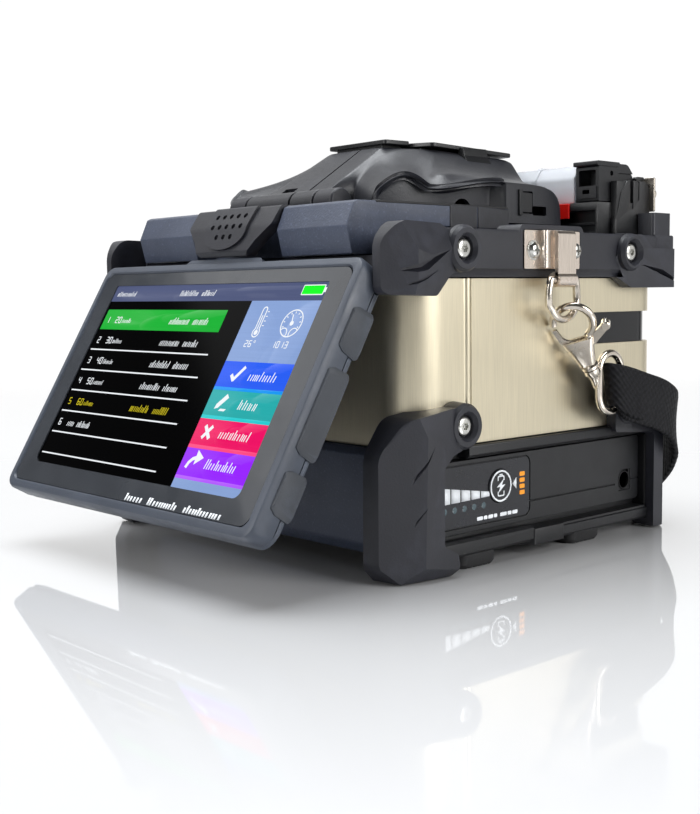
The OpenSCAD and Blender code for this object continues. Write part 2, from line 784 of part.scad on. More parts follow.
module heater_clamp(side) placed() color("#1b1c20") on_side(side) difference() {
    union() {
        along_x(clamp_x[0], clamp_x[1])
            polygon([[34, lid_z], [34, 119], [36, heater_top], [50, heater_top],
                [54, 118], [54, lid_z]]);
        pin_x(clamp_x[0], clamp_x[1], heater_pin, lid_knuckle_r);
    }
    block([52, 58], [30, 36], [112, 118.5]);
    pin_x(40, 70, heater_pin, heater_pin_r + pin_play);
}

module heater_clamp_right() heater_clamp(1);
module heater_clamp_left() heater_clamp(-1);

module heater_springs() placed() color("#c4c6c9") both_sides() {
    block([60.4, 64.4], [58, 59.2], [106.3, 118]);
    pin_y(59.2, 61, [62.4, 112.5], 1.8);
}

// ---- carrying strap hardware ----

module strap_bracket() {
    difference() {
        union() {
            // base plate with a raised fold beside the tongue
            block([69, 70.2], bracket_y, bracket_z);
            block([70.2, 72.4], [-9.6, -8.4], bracket_z);
            block([71.2, 72.4], [-8.4, -6.2], bracket_z);
            // tongue that turns down to the knuckle
            block([70.2, 74.6], tongue_y, [96.8, bracket_z[1]]);
            block([73.3, 74.6], tongue_y, [bar_pos[2], bracket_z[1]]);
            pin_y(tongue_y[0], tongue_y[1], [bar_pos[0], bar_pos[2]], 2.3);
        }
        pin_y(-10, 10, [bar_pos[0], bar_pos[2]], wire_r + 0.1);
        for (y = bracket_screw_y) pin_x(60, 72, [y, screw_high_z], bracket_hole_r);
    }
    for (y = bracket_screw_y) {
        pin_x(70.2, 71.8, [y, screw_high_z], 2.4);
        pin_x(66, 70.2, [y, screw_high_z], bracket_hole_r - pin_play);
    }
}

module strap_brackets() placed() color("#c9c4ba") both_sides() strap_bracket();

module d_ring(side) placed() color("#c9c4ba") on_side(side)
    translate(bar_pos) {
        pin_y(-d_ring_r, d_ring_r, [0, 0], wire_r);
        for (s = [-1, 1]) translate([0, s * d_ring_r, -d_ring_drop]) cylinder(r = wire_r, h = d_ring_drop);
        for (s = [-1, 1]) translate([0, s * d_ring_r, 0]) sphere(r = wire_r);
        translate([0, 0, -d_ring_drop]) rotate([0, 90, 0]) rotate([0, 0, -90])
            rotate_extrude(angle = 180) translate([d_ring_r, 0]) circle(wire_r);
    }

module d_ring_right() d_ring(1);
module d_ring_left() d_ring(-1);

module hook(side) placed() color("#c9c4ba") on_side(side) on_hook() difference() {
    union() {
        // fixed part of the loop
        rotate([90, 0, 0]) rotate([0, 0, -58]) rotate_extrude(angle = 230)
            translate([hook_loop_r, 0]) circle(wire_r);
        along_y(-2, 2)
            polygon([[-3.4, -6.6], [1.6, -7.4], [3.9, -4.4], [5.4, -4.4], [2.6, -15], [-2.6, -15]]);
        translate([0, 0, -16.6]) cylinder(r = 2.7, h = 1.8);
        along_y(-0.7, 0.7) translate([0, rivet_z]) circle(rivet_r);
    }
    // slot for the trigger, open on both edges
    difference() {
        block([-8, 8], [-0.75, 0.75], [-12.2, -3.6]);
        along_y(-0.8, 0.8) translate([0, rivet_z]) circle(rivet_r);
    }
    translate([0, 0, -20]) cylinder(r = 1.05, h = 7);
}

module hook_right() hook(1);
module hook_left() hook(-1);

module trigger(side) placed() color("#c9c4ba") on_side(side) on_hook() difference() {
    along_y(-trigger_t / 2, trigger_t / 2)
        polygon([[-6.7, -0.6], [-5.3, -0.6], [-4.6, -4.3], [-1.2, -7.2], [2.2, -7], [9.2, -2.4],
            [9.8, -4.2], [3.4, -9.4], [1.4, -11.4], [-1.4, -11.4], [-5.9, -5.6]]);
    along_y(-trigger_t, trigger_t) translate([0, rivet_z]) circle(rivet_r + 0.08);
}

module trigger_right() trigger(1);
module trigger_left() trigger(-1);

// Swivel post and oval ring that the webbing is sewn round
module strap_ring() {
    on_hook() {
        translate([0, 0, -23.6]) cylinder(r = 1.5, h = 4.6);
        translate([0, 0, -19.6]) cylinder(r = 2.5, h = 2.7);
        translate([0, 0, -17]) cylinder(r = 1, h = 3.6);
    }
    translate(eye_pos) {
        limb = eye_half - eye_reach;
        for (s = [-1, 1]) translate([0, s * eye_reach, -limb]) cylinder(r = wire_r, h = 2 * limb);
        for (s = [-1, 1]) translate([0, 0, s * limb])
            rotate([0, 90, 0]) rotate([0, 0, s > 0 ? 90 : -90])
                rotate_extrude(angle = 180) translate([eye_reach, 0]) circle(wire_r);
    }
}

module strap_rings() placed() color("#c9c4ba") both_sides() strap_ring();

// Webbing: a flat eight-sided section carried along its route
function unit(v) = v / norm(v);
function route_dir(i) = let (n = len(strap_route))
    unit(strap_route[min(i + 1, n - 1)] - strap_route[max(i - 1, 0)]);
function width_dir(i) = let (d = route_dir(i)) unit([0, 0, 1] - d * d[2]);
strap_section = [[-0.5, -0.3], [-0.44, -0.5], [0.44, -0.5], [0.5, -0.3], [0.5, 0.3],
    [0.44, 0.5], [-0.44, 0.5], [-0.5, 0.3]];

module strap() placed() color("#16171c") {
    n = len(strap_route);
    m = len(strap_section);
    points = [for (i = [0:n - 1], p = strap_section)
        strap_route[i] + width_dir(i) * (p[0] * strap_w)
            + cross(route_dir(i), width_dir(i)) * (p[1] * strap_t)];
    lower = [for (i = [0:n - 2], k = [0:m - 1])
        [i * m + k, i * m + (k + 1) % m, (i + 1) * m + (k + 1) % m]];
    upper = [for (i = [0:n - 2], k = [0:m - 1])
        [i * m + k, (i + 1) * m + (k + 1) % m, (i + 1) * m + k]];
    polyhedron(points, concat(lower, upper, [[for (k = [m - 1:-1:0]) k]],
        [[for (k = [0:m - 1]) (n - 1) * m + k]]));
}

base_tray();
bottom_vent();
rubber_feet();
lower_bumpers();
front_lower_cover();
battery_case();
battery_face();
battery_cells();
battery_board();
battery_button();
dc_jack();
shell_front_panel();
shell_rear_panel();
corner_insert();
upper_frame();
upper_bumpers();
side_screws();
top_deck();
release_tab();
monitor_hinge_ears();
monitor_bezel();
monitor_shell();
monitor_glass();
lcd_panel();
monitor_grips();
monitor_pins();
wind_cover();
cover_top_plates();
cover_hinge_pin();
cover_lamp();
v_groove_block();
electrodes();
objectives();
fibre_clamp_right();
fibre_clamp_left();
sheath_holders();
holder_lid_right();
holder_lid_left();
drive_motors();
main_board();
power_module();
power_key();
heat_key();
heater_base();
heater_trough();
heater_marker();
heater_lid();
heater_clamp_right();
heater_clamp_left();
heater_springs();
strap_brackets();
d_ring_right();
d_ring_left();
hook_right();
hook_left();
trigger_right();
trigger_left();
strap_rings();
strap();
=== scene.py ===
"""Looks of the fibre fusion splicer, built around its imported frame.

Lengths are millimetres in the machine's own frame: the origin is on the table under the middle of
the metal shell, +X is the operator's right and the operator stands at -Y. finished() turns them
into the frame's metres.
"""
import math
import random

import bmesh
import bpy
from mathutils import Matrix, Vector


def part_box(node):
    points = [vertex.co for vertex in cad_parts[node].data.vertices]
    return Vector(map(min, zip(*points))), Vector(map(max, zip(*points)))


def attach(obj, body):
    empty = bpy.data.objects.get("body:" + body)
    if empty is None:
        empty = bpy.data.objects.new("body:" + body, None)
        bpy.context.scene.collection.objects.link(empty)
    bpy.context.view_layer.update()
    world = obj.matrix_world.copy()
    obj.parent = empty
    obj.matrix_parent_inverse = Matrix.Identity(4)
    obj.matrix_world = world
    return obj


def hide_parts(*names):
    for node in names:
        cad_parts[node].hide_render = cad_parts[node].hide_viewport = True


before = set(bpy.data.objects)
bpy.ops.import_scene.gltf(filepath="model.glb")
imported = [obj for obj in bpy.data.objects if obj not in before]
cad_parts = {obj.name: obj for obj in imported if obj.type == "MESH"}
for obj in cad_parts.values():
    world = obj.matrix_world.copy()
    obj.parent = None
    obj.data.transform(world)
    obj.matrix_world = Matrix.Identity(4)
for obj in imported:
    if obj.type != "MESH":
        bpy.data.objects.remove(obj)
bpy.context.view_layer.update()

MM = 0.001


def node_box(node):
    """A CAD node's lowest and highest corner, in the machine's own millimetres."""
    lo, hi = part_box(node)
    return [(p - Vector((0, MID_Y, 0))) / MM for p in (lo, hi)]


shell_lo, shell_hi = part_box("shell_front_panel")[0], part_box("shell_rear_panel")[1]
MID_Y = (shell_lo.y + shell_hi.y) / 2
SIDE = shell_hi.x / MM
FRONT = (shell_lo.y - MID_Y) / MM
SHELL_Z, SHELL_TOP = shell_lo.z / MM, shell_hi.z / MM
CORNER = 12.7
RAIL = node_box("upper_frame")[1].x
RAIL_TOP = 98
HOOD_TOP = node_box("wind_cover")[1].z
BATTERY_LO, BATTERY_HI = node_box("battery_face")
BUTTON = (node_box("battery_button")[0] + node_box("battery_button")[1]) / 2
JACK = (node_box("dc_jack")[0] + node_box("dc_jack")[1]) / 2
SCREW_Y, SCREW_Z = (-44.5, 35.5), (42.1, 92.2)
TILT = math.radians(30.4)
MONITOR_TOP = Vector((0, -75.7, 90.1))
DISPLAY = (108, 64.8, 7.65)
HOOD_PIN = (-49, 107.6)
HEATER_PIN = (56, 111.5)


# ---- outlines ----

def rounded(points, radii, steps=5):
    """An outline with its corners rounded; radii is one number, or one for each corner."""
    if not hasattr(radii, "__len__"):
        radii = [radii] * len(points)
    out = []
    for i, r in enumerate(radii):
        corner = Vector(points[i])
        back = Vector(points[i - 1]) - corner
        on = Vector(points[(i + 1) % len(points)]) - corner
        if r <= 0:
            out.append(tuple(corner))
            continue
        half = back.angle(on) / 2
        reach = min(r / math.tan(half), back.length * 0.49, on.length * 0.49)
        r = reach * math.tan(half)
        centre = corner + (back.normalized() + on.normalized()).normalized() * (r / math.sin(half))
        start = corner + back.normalized() * reach - centre
        end = corner + on.normalized() * reach - centre
        turn = math.atan2(start.x * end.y - start.y * end.x, start.dot(end))
        for k in range(steps + 1):
            out.append(tuple(centre + Matrix.Rotation(turn * k / steps, 2) @ start))
    return out


def rect(x0, x1, y0, y1):
    return [(x0, y0), (x1, y0), (x1, y1), (x0, y1)]


def centred(w, d, r, steps=8):
    return rounded(rect(-w / 2, w / 2, -d / 2, d / 2), r, steps)


def circle(x, y, r, n=40):
    return [(x + r * math.cos(k * math.tau / n), y + r * math.sin(k * math.tau / n)) for k in range(n)]


def arc(x, y, r, start, end, n=12):
    """Points along an arc, angles in degrees."""
    turn = [math.radians(start + (end - start) * k / n) for k in range(n + 1)]
    return [(x + r * math.cos(a), y + r * math.sin(a)) for a in turn]


# ---- solids, as bmeshes ----

PLANES = {"x": (1, 2, 0), "y": (0, 2, 1), "z": (0, 1, 2)}


def loft(rings):
    """Skin over rings with the same number of points; the two end rings are capped."""
    bm = bmesh.new()
    rows = [[bm.verts.new(p) for p in ring] for ring in rings]
    n = len(rows[0])
    for a, b in zip(rows, rows[1:]):
        for i in range(n):
            bm.faces.new((a[i], a[(i + 1) % n], b[(i + 1) % n], b[i]))
    bm.faces.new(rows[0])
    bm.faces.new(rows[-1])
    bmesh.ops.recalc_face_normals(bm, faces=bm.faces)
    return bm


def lifted(axis, outline, level):
    """An outline's points in space, at one level along an axis."""
    u, v, w = PLANES[axis]
    ring = []
    for p in outline:
        co = [0, 0, 0]
        co[u], co[v], co[w] = p[0], p[1], level
        ring.append(tuple(co))
    return ring


def prism(axis, outline, a, b):
    """Outline drawn along an axis: (y, z) along x, (x, z) along y, (x, y) along z."""
    return loft([lifted(axis, outline, a), lifted(axis, outline, b)])


def slab(x, y, z):
    return prism("z", rect(*x, *y), *z)


def rod(axis, centre, r, a, b, n=40):
    return prism(axis, circle(*centre, r, n), a, b)


def turned(axis, centre, profile, n=40):
    """Profile of (radius, level) turned about an axis through centre."""
    return loft([lifted(axis, circle(*centre, r, n), level) for r, level in profile])


def wire(path, r, sides=12, closed=False):
    """Round wire along points."""
    path = [Vector(p) for p in path]
    n = len(path)
    rings, up = [], None
    for i, p in enumerate(path):
        before = path[i - 1] if i or closed else p
        after = path[(i + 1) % n] if i < n - 1 or closed else p
        along = (after - before).normalized()
        if up is None:
            up = along.orthogonal().normalized()
        up = (up - along * up.dot(along)).normalized()
        side = along.cross(up)
        turns = [k * math.tau / sides for k in range(sides)]
        rings.append([p + (up * math.cos(a) + side * math.sin(a)) * r for a in turns])
    if closed:
        end = rings[0]
        shift = min(range(sides), key=lambda s: (Vector(rings[-1][s]) - end[0]).length)
        bm = loft(rings)
        bmesh.ops.delete(bm, geom=[f for f in bm.faces if len(f.verts) == sides], context="FACES_ONLY")
        bm.verts.ensure_lookup_table()
        for k in range(sides):
            a = bm.verts[(n - 1) * sides + (k + shift) % sides]
            b = bm.verts[(n - 1) * sides + (k + 1 + shift) % sides]
            bm.faces.new((a, b, bm.verts[(k + 1) % sides], bm.verts[k]))
        bmesh.ops.recalc_face_normals(bm, faces=bm.faces)
        return bm
    return loft(rings)


def merged(*parts):
    """Several solids in one bmesh, as they are."""
    whole = bmesh.new()
    for bm in parts:
        mesh = bpy.data.meshes.new("part")
        bm.to_mesh(mesh)
        bm.free()
        whole.from_mesh(mesh)
        bpy.data.meshes.remove(mesh)
    return whole


def boolean(kind, *solids):
    """UNION, DIFFERENCE or INTERSECT of the first solid with each of the others."""
    objects = []
    for bm in solids:
        mesh = bpy.data.meshes.new("part")
        bm.to_mesh(mesh)
        bm.free()
        obj = bpy.data.objects.new("part", mesh)
        bpy.context.scene.collection.objects.link(obj)
        objects.append(obj)
    for tool in objects[1:]:
        step = objects[0].modifiers.new("step", "BOOLEAN")
        step.operation, step.solver, step.object = kind, "EXACT", tool
    result = bmesh.new()
    result.from_object(objects[0], bpy.context.evaluated_depsgraph_get())
    for obj in objects:
        mesh = obj.data
        bpy.data.objects.remove(obj)
        bpy.data.meshes.remove(mesh)
    return result


def cut(body, *tools):
    return boolean("DIFFERENCE", body, *tools)


def fused(body, *others):
    return boolean("UNION", body, *others)


def shaved(bm, point, normal):
    """Cuts away what lies past a plane."""
    done = bmesh.ops.bisect_plane(
        bm, geom=[*bm.verts, *bm.edges, *bm.faces], plane_co=point, plane_no=Vector(normal).normalized(),
        clear_outer=True)
    edges = [e for e in done["geom_cut"] if isinstance(e, bmesh.types.BMEdge)]
    bmesh.ops.holes_fill(bm, edges=edges, sides=0)
    bmesh.ops.recalc_face_normals(bm, faces=bm.faces)
    return bm


def moved(bm, matrix):
    bmesh.ops.transform(bm, matrix=matrix, verts=bm.verts)
    return bm


def mirrored(bm):
    """The same solid on the other side of the machine."""
    bmesh.ops.scale(bm, vec=(-1, 1, 1), verts=bm.verts)
    bmesh.ops.reverse_faces(bm, faces=bm.faces)
    return bm


def both(bm):
    return merged(mirrored(bm.copy()), bm)


def turned_round(origin, axis, degrees):
    """Rotation about a line through a point."""
    there = Matrix.Translation(Vector(origin))
    return there @ Matrix.Rotation(math.radians(degrees), 4, axis) @ there.inverted()


MONITOR = Matrix.Translation(MONITOR_TOP) @ Matrix.Rotation(-TILT, 4, "X")
MONITOR_PIN = (8, -6)
hinge_at = tuple((MONITOR @ Vector((0, *MONITOR_PIN))).yz)


# ---- finished pieces ----

TO_FRAME = Matrix.Translation((0, MID_Y, 0)) @ Matrix.Scale(MM, 4)


def finished(name, bm, look, body, stands_for=(), bevel=0.35, segments=2, smooth=0, hard=35):
    """Makes the piece: cleans the mesh, places it, bevels its edges and gives it its finish."""
    bmesh.ops.remove_doubles(bm, verts=bm.verts, dist=0.0005)
    if not smooth:
        bmesh.ops.dissolve_limit(bm, angle_limit=math.radians(0.6), verts=bm.verts, edges=bm.edges)
    mesh = bpy.data.meshes.new(name)
    if not bevel:
        for edge in bm.edges:
            if len(edge.link_faces) == 2:
                edge.smooth = edge.calc_face_angle() < math.radians(hard)
    bm.to_mesh(mesh)
    bm.free()
    mesh.transform(TO_FRAME)
    mesh.materials.append(look.material)
    mesh.polygons.foreach_set("use_smooth", [True] * len(mesh.polygons))
    obj = bpy.data.objects.new(name, mesh)
    bpy.context.scene.collection.objects.link(obj)
    if smooth:
        step = obj.modifiers.new("smooth", "SUBSURF")
        step.levels = step.render_levels = smooth
    if bevel:
        step = obj.modifiers.new("edges", "BEVEL")
        step.width, step.segments = bevel * MM, segments
        step.limit_method, step.angle_limit = "ANGLE", math.radians(hard)
        step.harden_normals = True
    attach(obj, body)
    if stands_for:
        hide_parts(*stands_for)
    return obj


def cad_shape(node):
    """A CAD node's shape in millimetres, with its flat faces whole again, ready for finer work."""
    bm = bmesh.new()
    bm.from_mesh(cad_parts[node].data)
    bmesh.ops.transform(bm, matrix=TO_FRAME.inverted(), verts=bm.verts)
    bmesh.ops.remove_doubles(bm, verts=bm.verts, dist=0.001)
    bmesh.ops.dissolve_limit(bm, angle_limit=math.radians(0.6), verts=bm.verts, edges=bm.edges)
    return bm


def refined(node, look, bevel, body="chassis", name=None, **more):
    """A CAD node's own shape with bevelled edges and its finish."""
    return finished(name or node, cad_shape(node), look, body, [node], bevel=bevel, **more)


# ---- finishes ----

def tinted(colour, k):
    return tuple(min(1, c * k) for c in colour[:3]) + (1,)


def srgb(r, g, b):
    """Linear colour from the 0 to 255 one a person would name."""
    return tuple(((c / 255 + 0.055) / 1.055) ** 2.4 if c > 10 else c / 255 / 12.92 for c in (r, g, b)) + (1,
            )


class Finish:
    """A material under construction: its node tree, its shader, and short ways to add to them."""

    def __init__(self, name, slot, colour, rough, **constants):
        self.material = bpy.data.materials.new(name)
        self.material.use_nodes = True
        self.tree = self.material.node_tree
        self.shader = self.tree.nodes["Principled BSDF"]
        self.slot = slot
        self.shader.inputs["Base Color"].default_value = colour
        self.shader.inputs["Roughness"].default_value = rough
        for socket, value in constants.items():
            self.shader.inputs[socket.replace("_", " ")].default_value = value
        self.colour, self.rough = colour, rough

    def node(self, kind, **inputs):
        made = self.tree.nodes.new(kind)
        for socket, value in inputs.items():
            target = made.inputs[socket.replace("_", " ")]
            if isinstance(value, bpy.types.NodeSocket):
                self.tree.links.new(value, target)
            else:
                target.default_value = value
        return made

    def place(self, stretch=(1, 1, 1)):
        spot = self.node("ShaderNodeTexCoord")
        return self.node("ShaderNodeMapping", Vector=spot.outputs["Object"], Scale=stretch).outputs[0]

    def noise(self, size, detail=3, stretch=(1, 1, 1)):
        """Noise whose features are size millimetres across."""
        made = self.node("ShaderNodeTexNoise", Vector=self.place(stretch), Scale=1 / (size * MM),
                         Detail=detail)
        return made.outputs["Fac"]

    def between(self, value, low, high, out_low=0.0, out_high=1.0):
        made = self.node("ShaderNodeMapRange", Value=value)
        for socket, number in zip(("From Min", "From Max", "To Min", "To Max"),
                                  (low, high, out_low, out_high)):
            made.inputs[socket].default_value = number
        return made.outputs[0]

    def times(self, a, b):
        made = self.node("ShaderNodeMath")
        made.operation = "MULTIPLY"
        for i, value in enumerate((a, b)):
            if isinstance(value, bpy.types.NodeSocket):
                self.tree.links.new(value, made.inputs[i])
            else:
                made.inputs[i].default_value = value
        return made.outputs[0]

    def mixed(self, share, a, b):
        made = self.tree.nodes.new("ShaderNodeMix")
        made.data_type = "RGBA"
        for socket, value in (("Factor", share), ("A", a), ("B", b)):
            target = [s for s in made.inputs if s.name == socket and s.type in ("VALUE",
                    "RGBA") and s.enabled][0]
            if isinstance(value, bpy.types.NodeSocket):
                self.tree.links.new(value, target)
            else:
                target.default_value = value
        return [s for s in made.outputs if s.type == "RGBA"][0]

    def edges(self, low=0.52, high=0.6):
        """Where edges stand out, broken up a little."""
        shape = self.node("ShaderNodeNewGeometry").outputs["Pointiness"]
        return self.times(self.between(shape, low, high), self.between(self.noise(3), 0.35, 0.65, 0.2, 1))

    def paint(self, colour):
        self.tree.links.new(colour, self.shader.inputs["Base Color"])

    def polish(self, rough):
        self.tree.links.new(rough, self.shader.inputs["Roughness"])

    def relief(self, height, depth, strength=1.0):
        """Bump of depth millimetres."""
        bump = self.node("ShaderNodeBump", Height=height, Strength=strength, Distance=depth * MM)
        self.tree.links.new(bump.outputs[0], self.shader.inputs["Normal"])


def plastic(name, colour, rough=0.5, grain=0.05, size=0.45, speckle=0.0, wear=0.35, slot="dark_plastic",
            **constants):
    """Moulded plastic: spark-eroded grain, faint blotches, paler handled edges."""
    f = Finish(name, slot, colour, rough, **constants)
    blotch = f.noise(22, 4)
    tone = f.mixed(f.between(blotch, 0.3, 0.7), tinted(colour, 0.84), tinted(colour, 1.14))
    fine = f.noise(size, 3)
    if speckle:
        sparks = f.between(fine, 0.60, 0.70, 0, speckle)
        tone = f.mixed(sparks, tone, tinted(colour, 4.5))
    if wear:
        tone = f.mixed(f.times(f.edges(), wear), tone, tinted(colour, 2.6))
    f.paint(tone)
    f.polish(f.between(f.noise(9, 4), 0.3, 0.7, rough - 0.07, rough + 0.07))
    f.relief(fine, grain)
    return f


def metal(name, colour, rough, brush=(1, 1, 1), size=0.3, grain=0.01, slot="nickel", anisotropic=0.0,
          spread=0.08):
    """Bare metal, brushed where one stretch is small."""
    f = Finish(name, slot, colour, rough, Metallic=1.0, Anisotropic=anisotropic)
    lines = f.noise(size, 3, brush)
    f.paint(f.mixed(f.between(lines, 0.3, 0.7), tinted(colour, 0.92), tinted(colour, 1.06)))
    f.polish(f.between(f.noise(14, 2), 0.3, 0.7, rough - spread, rough + spread))
    f.relief(lines, grain)
    return f


def glowing(name, colour, strength=0.75, rough=0.12, coat=0.0):
    """A lit patch of the display, with the panel's faint pixel rows."""
    f = Finish(name, "display", tinted(colour, 0.04), rough, Specular_IOR_Level=0.03, Coat_Weight=coat,
               Emission_Strength=strength)
    rows = f.noise(0.5, 1, (0.02, 1, 1))
    lit = f.mixed(f.between(rows, 0.2, 0.8), tinted(colour, 0.96), tinted(colour, 1.04))
    f.tree.links.new(lit, f.shader.inputs["Emission Color"])
    f.relief(f.noise(60, 1), 0.0004)
    return f


BODY = plastic("body_plastic", srgb(27, 28, 35), 0.46)
BODY_DARK = plastic("dark_body_plastic", srgb(13, 14, 17), 0.45)
TEXTURED = plastic("textured_panel", srgb(58, 65, 82), 0.46, grain=0.09, size=0.7, speckle=0.22, wear=0.2,
                   slot="case_plastic")
MONITOR_BODY = plastic("monitor_plastic", srgb(60, 66, 77), 0.44, grain=0.04)
COVER = plastic("cover_plastic", srgb(34, 35, 40), 0.4, grain=0.06, size=0.6, slot="case_plastic")
COVER_PLATE = plastic("cover_plate", srgb(15, 16, 18), 0.4, grain=0.03)
GLOSS = plastic("gloss_insert", srgb(10, 11, 15), 0.16, grain=0.004, size=8, wear=0.1, slot="gloss_trim")
BUMPER = plastic("bumper_rubber", srgb(29, 30, 37), 0.48, grain=0.04, size=0.6, slot="bumper_rubber")
GRIP = plastic("grip_rubber", srgb(50, 54, 61), 0.5, grain=0.05, size=0.6, slot="grip_rubber")
BUTTON_FILM = plastic("button_film", srgb(30, 31, 35), 0.3, grain=0.004, size=2, wear=0.1,
                      slot="button_white")
DEEP = plastic("deep_black", srgb(14, 14, 16), 0.6, wear=0.1)
FOOT = plastic("rubber", srgb(20, 20, 22), 0.75, grain=0.05, slot="foot_rubber", wear=0.1)
LABEL = plastic("label_film", srgb(28, 29, 34), 0.3, grain=0.01, size=1.5, wear=0.15, slot="label_film")
RED = plastic("red_marker", srgb(226, 22, 14), 0.35, grain=0.01, size=2, wear=0.1, slot="red_plastic")
CHAMPAGNE = metal("brushed_champagne", srgb(222, 212, 186), 0.35, brush=(1, 1, 0.012), size=0.16,
                  grain=0.002,
                  slot="champagne_metal", anisotropic=0.4, spread=0.02)
NICKEL = metal("nickel_plate", srgb(222, 213, 200), 0.2, size=1.2, grain=0.004)
SATIN = metal("satin_nickel", srgb(236, 223, 210), 0.27, brush=(1, 1, 0.05), size=0.3, grain=0.003,
              spread=0.03)
SCREW = metal("zinc_screw", srgb(214, 213, 208), 0.22, size=0.8, grain=0.006, slot="screw_steel")
STEEL = metal("ground_steel", srgb(150, 152, 155), 0.32, brush=(0.05, 1, 1), grain=0.006, slot="bare_metal")
WHITE = plastic("white_print", srgb(232, 236, 240), 0.5, grain=0.002, size=3, wear=0, slot="label_film")
ORANGE = plastic("orange_print", srgb(240, 150, 20), 0.5, grain=0.002, size=3, wear=0, slot="label_film")
BOARD = plastic("circuit_board", srgb(20, 84, 44), 0.4, grain=0.02, size=1.5, speckle=0.15,
                slot="circuit_green")
CELL = plastic("cell_wrap", srgb(52, 96, 150), 0.3, grain=0.01, size=2, slot="cell_wrap")
ALUMINIUM = metal("die_cast", srgb(150, 153, 158), 0.42, size=0.7, grain=0.02, slot="bare_metal")
GLASS_EDGE = plastic("bezel_print", srgb(50, 53, 58), 0.16, grain=0.001, size=5, wear=0,
                     slot="screen_glass",
                     Coat_Weight=0.25, Coat_Roughness=0.04)
LENS = plastic("indicator_lens", srgb(70, 86, 92), 0.2, grain=0.002, size=2, wear=0, slot="label_film")
SCREEN = {name: glowing("screen_" + name, srgb(*colour), strength) for name, colour, strength in (
    ("black", (3, 3, 4), 0.6), ("slate", (82, 90, 124), 1.0), ("leaf", (34, 177, 58), 1.0),
    ("steel", (135, 161, 210), 1.0),
    ("blue", (43, 94, 240), 1.0), ("sky", (28, 150, 240), 1.0), ("teal", (42, 170, 170), 1.0),
    ("aqua", (40, 202, 206), 1.0),
    ("rose", (235, 20, 100), 1.0), ("pink", (250, 74, 130), 1.0), ("violet", (150, 40, 250), 1.0),
    ("lilac", (176, 92, 250), 1.0), ("white", (240, 244, 248), 1.0), ("yellow", (206, 190, 40), 1.0),
    ("lime", (12, 246, 34), 1.0))}
LAMP = plastic("lamp_diffuser", srgb(236, 236, 226), 0.4, grain=0.004, size=2, wear=0, slot="lamp_white")


def clear_plastic():
    """Milky clear moulding: sees through, with a soft frost and bright edges."""
    f = Finish("frosted_clear", "clear_plastic", srgb(238, 241, 246), 0.18, Transmission_Weight=0.5,
               IOR=1.35)
    frost = f.noise(4, 4)
    f.polish(f.between(frost, 0.3, 0.7, 0.12, 0.26))
    f.relief(f.noise(3, 3), 0.02)
    return f


CLEAR = clear_plastic()


# ---- carrying strap: first, because its route has to agree with the CAD solid ----

STRAP_ROUTE = [(0.0764, 0.0208, 0.0489), (0.077, 0.0275, 0.0469), (0.0772, 0.035, 0.0449),
               (0.077, 0.042, 0.0432), (0.0766, 0.048, 0.0412), (0.0756, 0.0538, 0.0382),
               (0.0728, 0.059, 0.0332), (0.068, 0.0634, 0.027), (0.0614, 0.0676, 0.0208),
               (0.053, 0.0724, 0.0154), (0.0444, 0.0784, 0.0118), (0.036, 0.0854, 0.0099),
               (0.028, 0.0924, 0.009), (0.018, 0.101, 0.009), (0.006, 0.111, 0.009), (-0.008, 0.12, 0.009),
               (-0.024, 0.125, 0.009), (-0.04, 0.124, 0.009), (-0.055, 0.117, 0.009),
               (-0.066, 0.105, 0.0096),
               (-0.073, 0.091, 0.0124), (-0.0766, 0.077, 0.018), (-0.0776, 0.064, 0.0254),
               (-0.0774, 0.052, 0.033), (-0.0772, 0.041, 0.0394), (-0.0769, 0.033, 0.0436),
               (-0.0768, 0.027, 0.0466), (-0.0764, 0.0208, 0.0488)]
STRAP_WIDTH, STRAP_THICK = 17, 1.8
# the webbing's own end, turned back round the ring: (x, y, z, half width)
STRAP_FOLD = [(78.5, 30.5, 46.5, 8.4), (78.3, 27, 47.3, 8.4), (78, 23.5, 48.3, 8.2),
              (77.3, 20.8, 49.4, 7.8),
              (75.8, 19.5, 50.3, 7.2), (74, 19.7, 50.4, 7), (72.6, 21.2, 49.9, 7), (71.8, 23.6, 49.2, 7.2),
              (71.8, 26.2, 48.2, 7.4), (72.7, 28.4, 47.5, 7.6), (74.2, 30, 46.8, 7.8),
              (75.6, 32.4, 45.8, 8)]


def smooth_route(points, per_span):
    """Catmull-Rom curve through the points."""
    points = [Vector(p) for p in points]
    points = [2 * points[0] - points[1], *points, 2 * points[-1] - points[-2]]
    out = []
    for a, b, c, d in zip(points, points[1:], points[2:], points[3:]):
        for k in range(per_span):
            t = k / per_span
            out.append(0.5 * (2 * b + (c - a) * t + (2 * a - 5 * b + 4 * c - d) * t ** 2
                              + (3 * b - a - 3 * c + d) * t ** 3))
    return out + [points[-2]]


def strap_frames(route, skew=9):
    """Point, direction along the width and direction through the thickness at each step.

    The width leans forwards where the webbing leaves a ring, and stands square to the route beyond that.
    """
    out, last = [], len(route) - 1
    runs = [0.0]
    for a, b in zip(route, route[1:]):
        runs.append(runs[-1] + (b - a).length)
    for i, p in enumerate(route):
        along = (route[min(i + 1, last)] - route[max(i - 1, 0)]).normalized()
        across = (Vector((0, 0, 1)) - along * along.z).normalized()
        near = max(0, 1 - min(runs[i], runs[-1] - runs[i]) / skew) if skew else 0
        across = across.lerp(Vector((0, -0.226, 0.974)), near).normalized()
        out.append((p, across, along.cross(across).normalized()))
    return out


